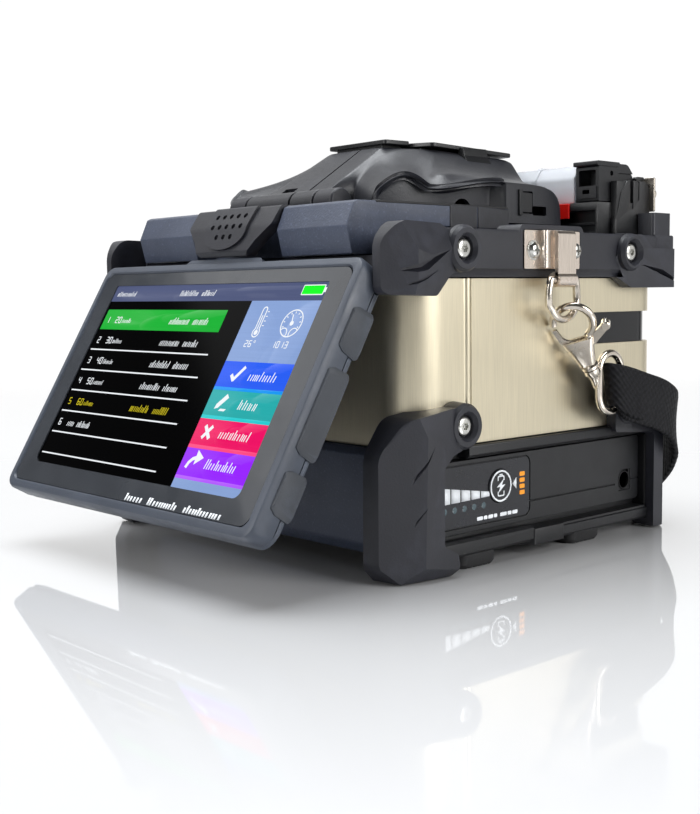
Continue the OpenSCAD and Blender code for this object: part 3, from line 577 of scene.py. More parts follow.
def webbing(frames, half_widths, faces, thick):
    """A woven band: a flat section with rolled edges, its two faces rippled by the weave."""
    bm = bmesh.new()
    section = [(-1, 0.0), (-0.985, 0.32), (-0.95, 0.5)]
    section += [(-0.95 + 1.9 * k / faces, 0.5) for k in range(1, faces)]
    section += [(0.95, 0.5), (0.985, 0.32), (1, 0.0)]
    ring = section + [(u, -v) for u, v in reversed(section[1:-1])]
    layer = bm.loops.layers.uv.new("weave")
    rows = []
    for i, ((p, across, through), half_width) in enumerate(zip(frames, half_widths)):
        row = []
        for u, v in ring:
            ripple = 0.07 * math.sin(u * 31) * math.sin(i * 1.7)
            row.append(bm.verts.new(p + across * (u * half_width) + through * (v * thick + ripple * v)))
        rows.append(row)
    n = len(ring)
    run = 0.0
    for i, (a, b) in enumerate(zip(rows, rows[1:])):
        step = (frames[i + 1][0] - frames[i][0]).length
        for k in range(n):
            face = bm.faces.new((a[k], a[(k + 1) % n], b[(k + 1) % n], b[k]))
            ends = ((k, 0), (k + 1, 0), (k + 1, 1), (k, 1))
            for loop, (column, on) in zip(face.loops, ends):
                u = ring[column % n][0]
                loop[layer].uv = (u * half_widths[i], run + on * step)
        run += step
    bm.faces.new(rows[0])
    bm.faces.new(rows[-1])
    bmesh.ops.recalc_face_normals(bm, faces=bm.faces)
    return bm


def webbing_look():
    """Coarse black nylon: over-and-under ribs 1.2 mm apart, each with its own fine yarns."""
    f = Finish("nylon_webbing", "webbing", srgb(16, 16, 20), 0.66, Specular_IOR_Level=0.2)
    spot = f.node("ShaderNodeUVMap")
    spot.uv_map = "weave"
    parts = f.node("ShaderNodeSeparateXYZ", Vector=spot.outputs[0])
    pitch = 1.25
    wave = []
    for socket in (parts.outputs[0], parts.outputs[1]):
        made = f.node("ShaderNodeMath")
        made.operation = "SINE"
        f.tree.links.new(f.times(socket, math.pi / pitch), made.inputs[0])
        wave.append(made.outputs[0])
    weave = f.times(wave[0], wave[1])
    yarn = f.noise(0.25, 2, (1, 1, 1))
    high = f.between(weave, -1, 1)
    # painted shade and highlight: the weave's hollows are painted darker as painted shade, and the rib tops
    # lighter as painted highlight, following the bump height
    f.paint(f.mixed(high, srgb(3, 3, 4), srgb(19, 19, 24)))
    f.polish(f.between(yarn, 0.3, 0.7, 0.5, 0.75))
    both_heights = f.node("ShaderNodeMath")
    both_heights.operation = "ADD"
    f.tree.links.new(high, both_heights.inputs[0])
    f.tree.links.new(f.times(yarn, 0.35), both_heights.inputs[1])
    f.relief(both_heights.outputs[0], 0.35, 1.0)
    return f


WEBBING = webbing_look()


def build_strap():
    route = [Vector((x / MM, y / MM, z / MM)) for x, y, z in STRAP_ROUTE]
    fine = smooth_route(route, 14)
    strap = finished("carrying_strap",
                     webbing(strap_frames(fine), [STRAP_WIDTH / 2] * len(fine), 18, STRAP_THICK),
                     WEBBING, "chassis", ["strap"], bevel=0, hard=70)
    # the turned-back ends that are sewn round the rings
    for side, s in (("right", 1), ("left", -1)):
        fold = smooth_route([(x * s, y, z) for x, y, z, _ in STRAP_FOLD], 8)
        widths = [p.x for p in smooth_route([(w, 0, 0) for _, _, _, w in STRAP_FOLD], 8)]
        frames = [(p, Vector((0, -0.2, 0.98)).normalized(), through)
                  for p, _, through in strap_frames(fold, 0)]
        finished("strap_end_" + side, webbing(frames, widths, 18, 1.4), WEBBING, "chassis",
                               bevel=0, hard=70)
    return strap


# ---- camera ----

def build_camera():
    """The photograph's view: in front, to the operator's right, a little above the table."""
    data = bpy.data.cameras.new("camera")
    camera = bpy.data.objects.new("camera", data)
    bpy.context.scene.collection.objects.link(camera)
    data.sensor_width, data.lens = 36, 53.74
    data.clip_start = 0.01
    yaw, pitch, roll = (math.radians(a) for a in (47.64, 5.36, -0.67))
    back = Vector((math.sin(yaw) * math.cos(pitch), -math.cos(yaw) * math.cos(pitch), math.sin(pitch)))
    right = Vector((math.cos(yaw), math.sin(yaw), 0))
    up = back.cross(right)
    c, s = math.cos(roll), math.sin(roll)
    right, up = c * right + s * up, c * up - s * right
    turn = Matrix((right, up, back)).transposed().to_4x4()
    camera.matrix_world = Matrix.Translation(TO_FRAME @ Vector((302.365, -299.094, 80.122))) @ turn
    bpy.context.scene.camera = camera
    return camera


# ---- metal shell ----

EVERYWHERE = (-99, 99)

def wall(outline_w, outline_d, r, thick, z0, z1, cut_front=None, cut_rear=None):
    """Upright sheet round the body, kept in front of or behind a plane."""
    ring = cut(prism("z", centred(outline_w, outline_d, r, 14), z0, z1),
               prism("z", centred(outline_w - 2 * thick, outline_d - 2 * thick, r - thick, 14), z0 - 1,
                     z1 + 1))
    if cut_front is not None:
        ring = cut(ring, slab(EVERYWHERE, (-99, cut_front), (0, 120)))
    if cut_rear is not None:
        ring = cut(ring, slab(EVERYWHERE, (cut_rear, 99), (0, 120)))
    return ring


BEAD_Y = -37.5


def build_shell():
    w, d = 2 * SIDE, -2 * FRONT
    front = wall(w, d, CORNER, 1.5, SHELL_Z, SHELL_TOP, cut_rear=BEAD_Y - 0.6)
    holes = both(rod("x", (SCREW_Y[0], SCREW_Z[0]), 1.8, 60, 72))
    front = cut(front, holes)
    # rolled bead where the front panel laps over the rear one
    bead = [(SIDE - 0.9, BEAD_Y - 2.2), (SIDE - 0.02, BEAD_Y - 2.2),
            *arc(SIDE - 0.5, BEAD_Y - 0.4, 1.3, -60, 90, 8),
            (SIDE - 0.9, BEAD_Y + 0.9)]
    front = merged(front, both(prism("z", bead, SHELL_Z + 0.02, SHELL_TOP - 0.02)))
    finished("front_metal_panel", front, CHAMPAGNE, "chassis", ["shell_front_panel"], bevel=0.18)
    rear = wall(w, d, CORNER, 1.5, SHELL_Z, SHELL_TOP, cut_front=BEAD_Y + 1.3)
    window = prism("x", rounded(rect(22, 80, 63, 73), 0.6), 48, 80)
    rear = cut(rear, window, both(rod("x", (SCREW_Y[1], SCREW_Z[0]), 1.8, 60, 72)))
    finished("rear_metal_panel", rear, CHAMPAGNE, "chassis", ["shell_rear_panel"], bevel=0.18)
    # glossy sunk trim behind the window, with a rim round the window's inside
    trim = cut(prism("z", centred(w - 3.1, d - 3.1, CORNER - 1.55, 14), 60, 76),
               prism("z", centred(w - 6.6, d - 6.6, CORNER - 3.3, 14), 50, 80),
               slab((-99, 50), EVERYWHERE, (50, 90)), slab(EVERYWHERE, (-99, 20), (50, 90)))
    finished("side_window_trim", trim, GLOSS, "chassis", ["corner_insert"], bevel=0.15)


# ---- base and battery ----

def build_base():
    tray = cad_shape("base_tray")
    # lip along the shell's lower edge, over the battery bay
    lip = prism(
        "y", rounded([(62.5, 32), (67.6, 32), (68.6, 33), (68.6, 35.7), (62.5, 35.7)],
                     [0, 0.3, 0.4, 0.5, 0]), -39.5, 48)
    rear_wall = prism("z", rounded(rect(63, 69.0, 48.2, 53.0), [0, 0.8, 0.8, 0]), 3.2, 31.8)
    lower = prism("y",
                  [(63.8, 4.2), (69.6, 4.2), (70.2, 5), (70.2, 8.3), (69.4, 9), (66.9, 9), (66.6, 8),
                   (63.8, 8)], -55, -12)
    lower2 = prism("y", [(63.8, 3.4), (69.2, 3.4), (69.9, 4.2), (69.9, 6.8), (69.2, 7.4), (63.8, 7.4)],
                   -12.2, 52)
    shelf = prism("z", rounded([(63.8, -16), (70.6, -12), (70.6, 2), (68.2, 4.5), (63.8, 4.5)], 0.8), 3,
                  7.9)
    extras = [lip, rear_wall, lower, lower2, shelf]
    tray = fused(tray, *[both(e) for e in extras])
    finished("battery_tray", tray, BODY_DARK, "chassis", ["base_tray"], bevel=0.35)
    refined("bottom_vent", BODY_DARK, 0.2, name="bottom_vent_grille")
    feet = []
    for x0, x1, y0, y1 in ((56, 69.5, -44, -28), (56, 69.5, 7, 23), (41, 53.5, -57.5, -49.5)):
        pad = loft([lifted("z", centred(x1 - x0, y1 - y0, 3), 4.25),
                    lifted("z", centred(x1 - x0, y1 - y0, 3), 1.2),
                    lifted("z", centred(x1 - x0 - 1.6, y1 - y0 - 1.6, 2.6), 0.0)])
        ribs = [slab((-x1, x1), (k * 2.2 - 0.4, k * 2.2 + 0.4), (-1, 0.4)) for k in range(-2, 3)]
        pad = cut(pad, *ribs)
        feet.append(moved(pad, Matrix.Translation(((x0 + x1) / 2, (y0 + y1) / 2, 0))))
    finished("rubber_feet", both(merged(*feet)), FOOT, "chassis", ["rubber_feet"], bevel=0.25)
    front = prism("x",
                  rounded([(-58.7, 6), (-61.5, 4.5), (-64.2, 8), (-64.2, 34), (-62.4, 35.8), (-58.7, 35.8)],
                               [0, 1, 2.5, 1.2, 0.6, 0]), -57.5, 57.5)
    finished("front_lower_cover", front, TEXTURED, "chassis", ["front_lower_cover"], bevel=0.5, segments=3)


def build_battery():
    y0, y1 = BATTERY_LO.y, BATTERY_HI.y
    z0, z1 = BATTERY_LO.z, BATTERY_HI.z
    face = prism("x", rounded(rect(y0, y1, z0, z1), [1.0, 1.5, 1.5, 1.0]), 62.5, 66.6)
    # sunk bed for the label, the lower groove and the socket's square surround
    bed = prism("x", rounded(rect(y0 - 5, -9.5, z0 + 1.6, z1 - 1.2), [0, 2.6, 2.6, 0]), 66.1, 70)
    groove = slab((66.1, 70), (-9.6, JACK.y - 5.5), (15.7, 16.1))
    step = slab((66.25, 70), (JACK.y + 3.2, y1 + 2), (16.6, 17.0))
    socket_bed = prism("x", rounded(rect(JACK.y - 3.6, JACK.y + 3.2, JACK.z - 3.4, JACK.z + 3.6), 0.5),
                       66.1, 70)
    face = cut(face, bed, groove, step, socket_bed, rod("x", (JACK.y, JACK.z), 3.1, 60, 70),
               rod("x", (BUTTON.y, BUTTON.z), 5.2, 60, 70))
    finished("battery_front_face", face, BODY_DARK, "battery", ["battery_face"], bevel=0.25)
    film = prism("x", rounded(rect(y0 + 0.6, -9.9, z0 + 2, z1 - 1.6), [0.4, 2.2, 2.2, 0.4]), 66.0, 66.5)
    film = cut(film, rod("x", (BUTTON.y, BUTTON.z), 5.2, 60, 70))
    finished("battery_label", film, LABEL, "battery", bevel=0.06)
    refined("battery_case", DEEP, 0.3, "battery")
    # wedge of five charge steps, and a lens under each
    steps, lenses = [], []
    a, b = (-49.3, 24.2, 19.2), (-27.9, 20.9, 19.6)
    for k in range(5):
        u0, u1 = k / 5, (k + 0.88) / 5
        y = [a[0] + (b[0] - a[0]) * u for u in (u0, u1)]
        top = [a[1] + (b[1] - a[1]) * u for u in (u0, u1)]
        low = [a[2] + (b[2] - a[2]) * u for u in (u0, u1)]
        steps.append(prism("x", [(y[0], low[0]), (y[1], low[1]), (y[1], top[1]), (y[0], top[0])], 66.45,
                           66.56))
        lenses.append(turned("x", (-47.8 + k * 4.2, 17.2),
                             [(0.95, 66.3), (0.95, 66.52), (0.7, 66.6), (0.3, 66.66)], 24))
    finished("charge_steps", merged(*steps), WHITE, "battery", bevel=0)
    finished("charge_lenses", merged(*lenses), LENS, "battery", bevel=0)
    # arrow that points at the button, and plain bars in place of the words
    arrow = prism("x", [(-17.9, 22.2), (-16.1, 20.4), (-16.1, 24)], 66.45, 66.56)
    finished("button_arrow", arrow, WHITE, "battery", bevel=0)
    marks = [prism("x", rounded(rect(-14.6, -12.2, 18.4 + k * 1.9, 19.7 + k * 1.9), 0.3, 2), 66.45,
                   66.56) for k in range(4)]
    finished("push_marks", merged(*marks), ORANGE, "battery", bevel=0)
    marks = [prism("x", rounded(rect(y, y + w, 12.9, 14), 0.3, 2), 66.45, 66.56)
             for y, w in ((-34, 2.6), (-31, 1.6), (-29, 2.2), (-26.4, 1.4), (-23.6, 3), (-20.2, 1.8),
                          (-18, 2.4))]
    finished("label_marks", merged(*marks), WHITE, "battery", bevel=0)
    # button: a film disc with a ring, a battery sign and a flash
    c = (BUTTON.y, BUTTON.z)
    cap = turned("x", c, [(4.2, 63.8), (5.0, 63.8), (5.0, 66.6), (4.7, 66.9), (0.5, 67.0)])
    finished("battery_button", cap, BUTTON_FILM, "battery_button", ["battery_button"], bevel=0)
    ring = cut(rod("x", c, 4.75, 66.9, 67.12), rod("x", c, 4.25, 66, 68))
    sign = cut(prism("x", rounded(rect(c[0] - 1.5, c[0] + 1.5, c[1] - 3.1, c[1] + 3.1), 0.5, 3), 66.95,
                     67.12),
               prism("x", rounded(rect(c[0] - 1.15, c[0] + 1.15, c[1] - 2.75, c[1] + 2.75), 0.3, 3), 66,
                     68),
               slab((66, 68), (c[0] - 3, c[0] + 3), (c[1] - 1.6, c[1] + 1.6)))
    cap_mark = slab((66.95, 67.12), (c[0] - 0.7, c[0] + 0.7), (c[1] + 3.2, c[1] + 3.6))
    flash = prism("x",
                  [(c[0] + 1.2, c[1] + 2), (c[0] - 1.9, c[1] - 0.3), (c[0] - 0.3, c[1] - 0.2),
                   (c[0] - 1.2, c[1] - 2),
                        (c[0] + 1.9, c[1] + 0.3), (c[0] + 0.3, c[1] + 0.2)], 66.95, 67.14)
    finished("button_print", merged(ring, sign, cap_mark, flash), WHITE, "battery_button", bevel=0)
    # power socket with its centre pin
    socket = cut(rod("x", (JACK.y, JACK.z), 3.05, 53.5, 66.3), rod("x", (JACK.y, JACK.z), 2.7, 55, 70))
    finished("power_socket", socket, DEEP, "battery", ["dc_jack"], bevel=0.1)
    pin = turned("x", (JACK.y, JACK.z), [(0.9, 54), (0.9, 64.6), (0.6, 65.2), (0.1, 65.4)], 20)
    finished("socket_pin", pin, NICKEL, "battery", bevel=0)
    refined("battery_cells", CELL, 0.6, "battery", segments=3)
    refined("battery_board", BOARD, 0.1, "battery", name="charge_board")


# ---- bumpers ----

def screw_seat(y, z, outer=6.2):
    """Round boss with a flared counterbore; returns what is added and what is cut."""
    boss = turned("x", (y, z), [(outer + 0.7, 66), (outer + 0.4, 71.6), (outer - 0.4, 72.7)], 48)
    hole = turned("x", (y, z), [(3.3, 70.3), (3.5, 71.6), (4.6, 73)], 40)
    hole = merged(hole, rod("x", (y, z), 1.6, 60, 70.6))
    return boss, hole


def tray_core():
    return prism("z", centred(128.4, 117.4, 10.2), -1, SHELL_Z + 0.1)


def body_core(gap, z0, z1):
    return prism("z", centred(2 * (SIDE + gap), 2 * (gap - FRONT), CORNER + gap, 14), z0, z1)


def wedge(a, b, wide, depth, x=74.5):
    """Tapered groove across a side face, from one (y, z) point to another."""
    a, b = Vector(a), Vector(b)
    along = (b - a).normalized()
    side = Vector((-along.y, along.x))
    middle = a.lerp(b, 0.55)
    outline = [tuple(a), tuple(middle + side * wide), tuple(b + side * wide * 0.25), tuple(b - side * 0.3)]
    inner = [tuple(Vector(p).lerp(middle, 0.35)) for p in outline]
    return loft([lifted("x", outline, x + 1), lifted("x", outline, x), lifted("x", inner, x - depth)])


def lower_front_bumper():
    seat, hole = screw_seat(SCREW_Y[0], SCREW_Z[0])
    outline = rounded([(-73.2, 0.5), (-75, 6), (-74.6, 36), (-67.5, 45.6), (-50, 47.6), (-44, 47.8),
                       (-38.9, 41), (-40, 36.2),
                       (-51, 34.4), (-56.2, 31.6), (-56.2, 9.6), (-50.5, 6.6), (-49.6, 3.4), (-52, 0.5)],
                      [1.5, 5, 9, 7, 3, 5, 4, 3, 3, 1.5, 1.5, 2, 1.5, 1.5], 6)
    body = prism("x", outline, 60.6, 74.5)
    # narrow front, long chamfer to the side that widens upwards, and a lean inwards at the top
    body = shaved(body, (61.2, -74, 0), (-1, 0, 0.0))
    body = shaved(body, (74.5, -62.5, 44), (1, -0.62, 0.02))
    body = shaved(body, (74.5, -71.5, 20), (1, -0.9, 0.28))
    body = shaved(body, (74.5, -60, 40), (1, 0.05, 0.26))
    body = shaved(body, (73.0, -50, 30), (1, 0.3, 0.05))
    body = shaved(body, (66, -74, 4), (0.1, -0.7, -0.7))
    body = shaved(body, (73.4, -60, 2.5), (0.8, -0.1, -0.6))
    cuts = [body_core(0.2, SHELL_Z - 0.3, 60), tray_core(), hole,
            wedge((-60, 37.6), (-74.4, 19), 1.5, 2.2), wedge((-62.8, 21.5), (-71.6, 10.8), 1.4, 1.9),
            loft([lifted("x", [(-71.6, 10.8), (-64.6, 11.3), (-64.8, 10.6)], 75),
                  lifted("x", [(-70.6, 10.9), (-66, 11.1), (-66.2, 10.8)], 73)])]
    body = fused(body, seat)
    return cut(body, *cuts)


def lower_rear_bumper():
    seat, hole = screw_seat(SCREW_Y[1], SCREW_Z[0], 5.6)
    outline = rounded([(48.2, 0.6), (48.2, 33), (29.4, 34), (29.4, 40), (31, 46.4), (58, 46.4), (62.2, 42),
                       (62.2, 4), (60, 0.6)],
                      [1, 2, 1, 3, 4, 6, 6, 4, 2], 6)
    body = prism("x", outline, 57, 72.4)
    body = shaved(body, (72.4, 53.5, 20), (0.738, 0.675, 0))
    body = shaved(body, (72.4, 50, 40), (1, -0.05, 0.22))
    body = shaved(body, (70.5, 30, 38), (1, -0.35, 0))
    body = fused(body, seat)
    return cut(body, body_core(0.2, SHELL_Z - 0.3, 60), tray_core(), hole,
               slab((60, 69.2), (40, 53.2), (3.0, 32.2)))


def upper_front_bumper():
    seat, hole = screw_seat(SCREW_Y[0], SCREW_Z[1])
    outline = rounded([(-74.4, 79.6), (-74.6, 94), (-70, 99.4), (-52, 99), (-38, 98.2), (-38.2, 86),
                       (-49, 85.2), (-55.2, 79)],
                      [2.5, 7, 6, 8, 4, 4, 4, 2.5], 6)
    body = prism("x", outline, 65.6, 74.5)
    # ear: rounded front, a swept facet towards the screw and one under it
    body = shaved(body, (74.5, -66, 90), (1, -0.7, 0.0))
    body = shaved(body, (70, -74.2, 88), (0.55, -1, 0))
    body = shaved(body, (74.5, -62, 90.5), (1, 0.12, 0.42))
    body = shaved(body, (74.5, -63, 87), (1, 0.24, -0.2))
    body = fused(body, seat)
    swoosh = [wedge((-48.6, 92.6), (-73.4, 85.2), 2.6, 3.0), wedge((-50.5, 88.2), (-71.5, 81.2), 1.1, 1.8)]
    return cut(body, body_core(0.2, 70, 84.4), prism("z", centred(2 * RAIL + 0.1, 128.1, 14), 84.2, 120),
               hole, *swoosh)


def upper_rear_bumper():
    seat, hole = screw_seat(SCREW_Y[1], SCREW_Z[1], 5.6)
    outline = rounded([(27, 86), (37.2, 80.8), (62, 80.8), (64.4, 83), (64.4, 93.6), (45.2, 93.6), (42, 98),
                       (32, 98)],
                      [1.5, 2, 2, 2, 2, 1.5, 3, 4], 5)
    body = prism("x", outline, 58, 73)
    body = shaved(body, (73, 58, 90), (0.8, 0.6, 0))
    body = shaved(body, (73, 42, 86.5), (1, -0.28, -0.2))
    body = shaved(body, (72.6, 40, 95), (1, 0, 0.3))
    body = fused(body, seat, prism("x", rounded(rect(50.4, 62.4, 92, 98.2), 0.8), 62, 69.6))
    return cut(body, body_core(0.2, 70, 84.4), prism("z", centred(2 * RAIL + 0.1, 128.1, 14), 84.2, 93.7),
               hole,
               prism("z", centred(2 * RAIL + 0.1, 124.6, 14), 84.2, 98.1),
               wedge((38.5, 88.4), (61, 82.4), 1.6, 2.2, 73))


def screw_head(y, z, x=70.4):
    """Button head with a six-lobed socket."""
    head = turned("x", (y, z),
                  [(2.5, x - 0.3), (2.9, x), (2.85, x + 0.7), (2.5, x + 1.15), (1.9, x + 1.35)], 40)
    lobes = [rod("x", (y + 0.75 * math.cos(k * math.tau / 6), z + 0.75 * math.sin(k * math.tau / 6)), 0.42,
                 x + 0.5, x + 2, 16)
             for k in range(6)]
    head = cut(head, fused(rod("x", (y, z), 0.85, x + 0.5, x + 2, 24), *lobes))
    return merged(head, rod("x", (y, z), 0.3, x + 0.3, x + 0.9, 12))


def build_bumpers():
    finished("lower_bumpers", both(merged(lower_front_bumper(), lower_rear_bumper())), BUMPER, "chassis",
             ["lower_bumpers"], bevel=0.8, segments=3, hard=20)
    finished("upper_bumpers", both(merged(upper_front_bumper(), upper_rear_bumper())), BUMPER, "chassis",
             ["upper_bumpers"], bevel=0.7, segments=3, hard=20)
    heads = [screw_head(y, z) for y in SCREW_Y for z in SCREW_Z]
    finished("side_screws", both(merged(*heads)), SCREW, "chassis", ["side_screws"], bevel=0.08, hard=40)


# ---- upper frame and deck ----

def build_frame():
    outer = [lifted("z", centred(2 * RAIL - e, 128 - e, 14 - e / 2, 10), z)
             for e, z in ((3.6, SHELL_TOP + 0.3), (3.2, 85.2), (0.0, 86.7), (0.0, 97.2), (0.8, RAIL_TOP))]
    frame_ring = loft(outer)
    hump = prism("x", rounded([(-20.5, 95), (-18, 99.8), (11, 99.8), (13.5, 95)], [0, 2.2, 2.2, 0]), 61,
                 RAIL)
    post = prism("z", rounded(rect(63.2, 69.4, 51, 62), [0, 1, 2, 0]), 96, 105.6)
    frame_ring = fused(frame_ring, both(hump), both(post))
    hollow = prism("z", centred(110, 112, 8), SHELL_TOP + 2.3, 130)
    well = slab((-39, 39), (-41, 13), (80, 90))
    low_front = slab((-60, 60), (-80, -48), (90.6, 110))
    # bed for the bracket, and round seats for the two keys
    bed = both(prism("x", rounded([(-17.4, 86.2), (-17.4, 98.4), (10.2, 98.4), (10.2, 86.2)], 1.2), 69, 80))
    keys = [turned("z", (-64.5, y), [(4.2, 91.8), (4.2, 97.4), (4.9, 98.6)]) for y in KEY_Y]
    frame_ring = cut(frame_ring, hollow, well, low_front, bed, *keys)
    finished("upper_frame", frame_ring, BODY, "chassis", ["upper_frame"], bevel=0.4, segments=2)
    for name, y, mark in (("power_key", KEY_Y[0], "power"), ("heat_key", KEY_Y[1], "heat")):
        cap = turned("z", (-64.5, y), [(3.9, 93.3), (4.0, 98), (3.6, 98.5), (2.6, 98.65), (0.5, 98.7)])
        finished(name, cap, BODY_DARK, name, [name], bevel=0)
        if mark == "power":
            ring = arc(-64.5, y, 1.7, 125, 415, 20)
            sign = merged(wire([(px, py, 98.62) for px, py in ring], 0.18, 6),
                          wire([(-64.5, y + 0.4, 98.65), (-64.5, y + 2.2, 98.6)], 0.18, 6))
        else:
            sign = merged(*[wire([(-65.9 + k * 1.4 + 0.35 * math.sin(t * 1.2), y - 1.6 + t * 0.4,
                                   98.62) for t in range(9)], 0.16, 6)
                            for k in range(3)])
        finished(name + "_sign", sign, WHITE, name, bevel=0)


KEY_Y = [(node_box(n)[0].y + node_box(n)[1].y) / 2 for n in ("power_key", "heat_key")]


def build_deck():
    refined("top_deck", TEXTURED, 0.45, segments=3)
    # smooth end blocks that close the rim on each side
    blocks = [prism("x", rounded([(y0, 99.3), (y0, z0), (y1, z1), (y1, 99.3)], [0.3, 0.3, r, 0.3]), 49,
                    52.35)
              for y0, y1, z0, z1, r in ((-29.6, -17.5, 106.1, 106.0, 0.3), (-17.1, -2.7, 106.0, 105.5, 1))]
    finished("deck_end_blocks", both(merged(*blocks)), COVER, "chassis", bevel=0.3)
    top_strip = prism("x", rounded([(-60, 105.6), (-60, 106.3), (-2.9, 106.3), (-2.9, 105.6)], 0.25, 2),
                      50.3, 52.2)
    finished("deck_rim_strip", both(top_strip), BODY_DARK, "chassis", bevel=0.15)


def build_release_tab():
    profile = rounded([(-64.6, 104.6), (-64.6, 106.4), (-68.7, 106.4), (-73, 100.4), (-76.1, 93),
                       (-75.4, 91.5),
                       (-71.9, 91.5), (-68.6, 99), (-66.1, 104.4)], [0.5, 0.8, 1.6, 8, 1, 0.6, 0.6, 4, 0.5])
    face = rounded([(-20.7, 108), (20.7, 108), (20.7, 100.8), (15.4, 96.2), (11.4, 91), (-11.4, 91),
                    (-15.4, 96.2),
                    (-20.7, 100.8)], [0, 0, 2, 5, 2, 2, 5, 2])
    tab = boolean("INTERSECT", prism("x", profile, -30, 30), prism("y", face, -80, -60))
    raised = [(y - 0.75 if y < -68 else y, z + (0.35 if y < -68 else 0)) for y, z in profile]
    pad_face = [(-10.4, 108), (10.4, 108), (10.2, 99.4), *arc(0, 99.4, 10.2, 0, -180, 24)[1:-1],
                (-10.2, 99.4)]
    squeeze = [(x, 99.4 - (99.4 - z) * 0.56 if z < 99.4 else z) for x, z in pad_face]
    pad = boolean("INTERSECT", prism("x", raised, -30, 30), prism("y", squeeze, -80, -65.4))
    tab = fused(tab, pad)
    dimples = []
    for z, y, spots in ((103.7, -71.3, 5), (100.6, -73.45, 5), (97.5, -74.85, 3)):
        for k in range(spots):
            x = (k - (spots - 1) / 2) * 3.5
            ball = bmesh.new()
            bmesh.ops.create_icosphere(ball, subdivisions=2, radius=0.95)
            dimples.append(moved(ball, Matrix.Translation((x, y, z))))
    tab = cut(tab, merged(*dimples))
    stub = both(turned("x", (-65.6, 105.4), [(0.9, 20), (0.9, 21.1), (0.7, 21.3)], 20))
    finished("release_tab", merged(tab, stub), BODY, "release_tab", ["release_tab"], bevel=0.22, segments=2,
             hard=30)


# ---- monitor ----

def on_monitor(bm):
    """From the monitor's own frame: x across, y into it, z up from its top edge."""
    return moved(bm, MONITOR.copy())


def panel(w, d, r, middle=-41.25, steps=8):
    return [(x, z + middle) for x, z in centred(w, d, r, steps)]


def stroke(points, wide, y0, y1):
    """Flat line of even width through (x, z) points."""
    points = [Vector(p) for p in points]
    left, right = [], []
    for i, p in enumerate(points):
        a = points[max(i - 1, 0)]
        b = points[min(i + 1, len(points) - 1)]
        along = (b - a).normalized()
        side = Vector((-along.y, along.x)) * wide / 2
        left.append(tuple(p + side))
        right.append(tuple(p - side))
    return prism("y", left + right[::-1], y0, y1)


MON_W, MON_L = 130, 82.5


def inset_ring(inset, r, level):
    """The monitor's outline, drawn in by half of inset on each side."""
    return lifted("y", panel(MON_W - inset, MON_L - inset, r), level)


def ear_slots():
    """Room for the two hinge ears, in either half of the monitor."""
    return [slab((x - 0.5, x + 4.5), (2.9, 20), (-12.5, 1)) for x in (34, -38)]


def build_monitor():
    ears = fused(both(fused(turned("x", hinge_at, [(3.6, 34), (3.8, 34.3), (3.8, 37.7), (3.6, 38)]),
                            slab((34, 38), (hinge_at[0], -61.2), (hinge_at[1] - 3.8, hinge_at[1] + 3.2)),
                            slab((29, 43), (-63, -61.2), (hinge_at[1] - 7, hinge_at[1] + 3.2)))))
    ears = cut(ears, rod("x", hinge_at, 1.65, -60, 60))
    finished("monitor_hinge_ears", ears, BODY_DARK, "chassis", ["monitor_hinge_ears"], bevel=0.3)
    # front half: crowned rim, step down to the glass
    rim = loft([inset_ring(2.4, 3.2, -0.25), inset_ring(1.0, 3.8, 0.05),
                inset_ring(0, 4.4, 0.9), inset_ring(0, 4.4, 6.8),
                inset_ring(0.5, 4.2, 7.2)])
    bed = loft([inset_ring(5.0, 3.4, -0.5), inset_ring(6.2, 3.0, 0.3),
                inset_ring(6.2, 3.6, 1.3)])
    inside = prism("y", panel(MON_W - 10, MON_L - 10, 2), 1, 8)
    hump = prism("y", rounded([(-22, -3), (-18, 1.3), (18, 1.3), (22, -3)], [0, 2.4, 2.4, 0]), 0.6, 6)
    rim = cut(cut(fused(rim, hump), bed, inside, *ear_slots()), rod("x", MONITOR_PIN, 1.6, -80, 80))
    finished("monitor_front_rim", on_monitor(rim), MONITOR_BODY, "monitor", ["monitor_bezel"], bevel=0.3)
    # rear half, with a raised back
    shell = loft([inset_ring(0.6, 5.2, 7.5), inset_ring(0.6, 5.2, 8.8),
                  inset_ring(4, 4.4, 10.4)])
    back = loft([lifted("y", panel(117, 66, 6, -43), 10.2), lifted("y", panel(112, 58, 6, -43.5), 12.6),
                 lifted("y", panel(108, 52, 6, -43.7), 13.6)])
    vents = [moved(prism("y", centred(34, 1.5, 0.7), 12.8, 15),
                   Matrix.Translation((0, 0, -43.6 + (k - 3) * 4))) for k in range(7)]
    shell = cut(fused(shell, back), prism("y", panel(MON_W - 10, MON_L - 10, 2), 6, 9), merged(*vents),
                *ear_slots())
    shell = cut(shell, rod("x", MONITOR_PIN, 1.6, -80, 80))
    finished("monitor_rear_shell", on_monitor(shell), MONITOR_BODY, "monitor", ["monitor_shell"], bevel=0.4)
    # side grips that bridge the parting line, each with a finger dip
    grips = []
    for z0, z1 in ((-27, -13), (-57, -31), (-74, -61)):
        outline = rounded([(2.4, z0 + 1.5), (4.4, z0 + 0.4), (9.4, z0), (10.2, z0 + 1), (10.2, z1 - 1),
                           (9.4, z1), (4.4, z1 - 0.4),
                           (2.4, z1 - 1.5)], [0.8, 0.8, 0.8, 0.5, 0.5, 0.8, 0.8, 0.8], 3)
        grips.append(loft([lifted("x", outline, MON_W / 2 - 0.8), lifted("x", outline, MON_W / 2 + 0.3),
                           lifted("x", [(y * 0.94 + 0.3, z + (1.3 if z < (z0 + z1) / 2 else -1.3)) for y,
                                        z in outline],
                                  MON_W / 2 + 0.85)]))
    finished("monitor_side_grips", on_monitor(both(merged(*grips))), GRIP, "monitor", ["monitor_grips"],
             bevel=0.12, segments=2)
    pins = both(turned("x", MONITOR_PIN, [(1.4, 30.6), (1.6, 30.9), (1.6, 41.2), (1.4, 41.5)]))
    finished("monitor_hinge_pins", on_monitor(pins), STEEL, "monitor", ["monitor_pins"], bevel=0)
    build_screen()


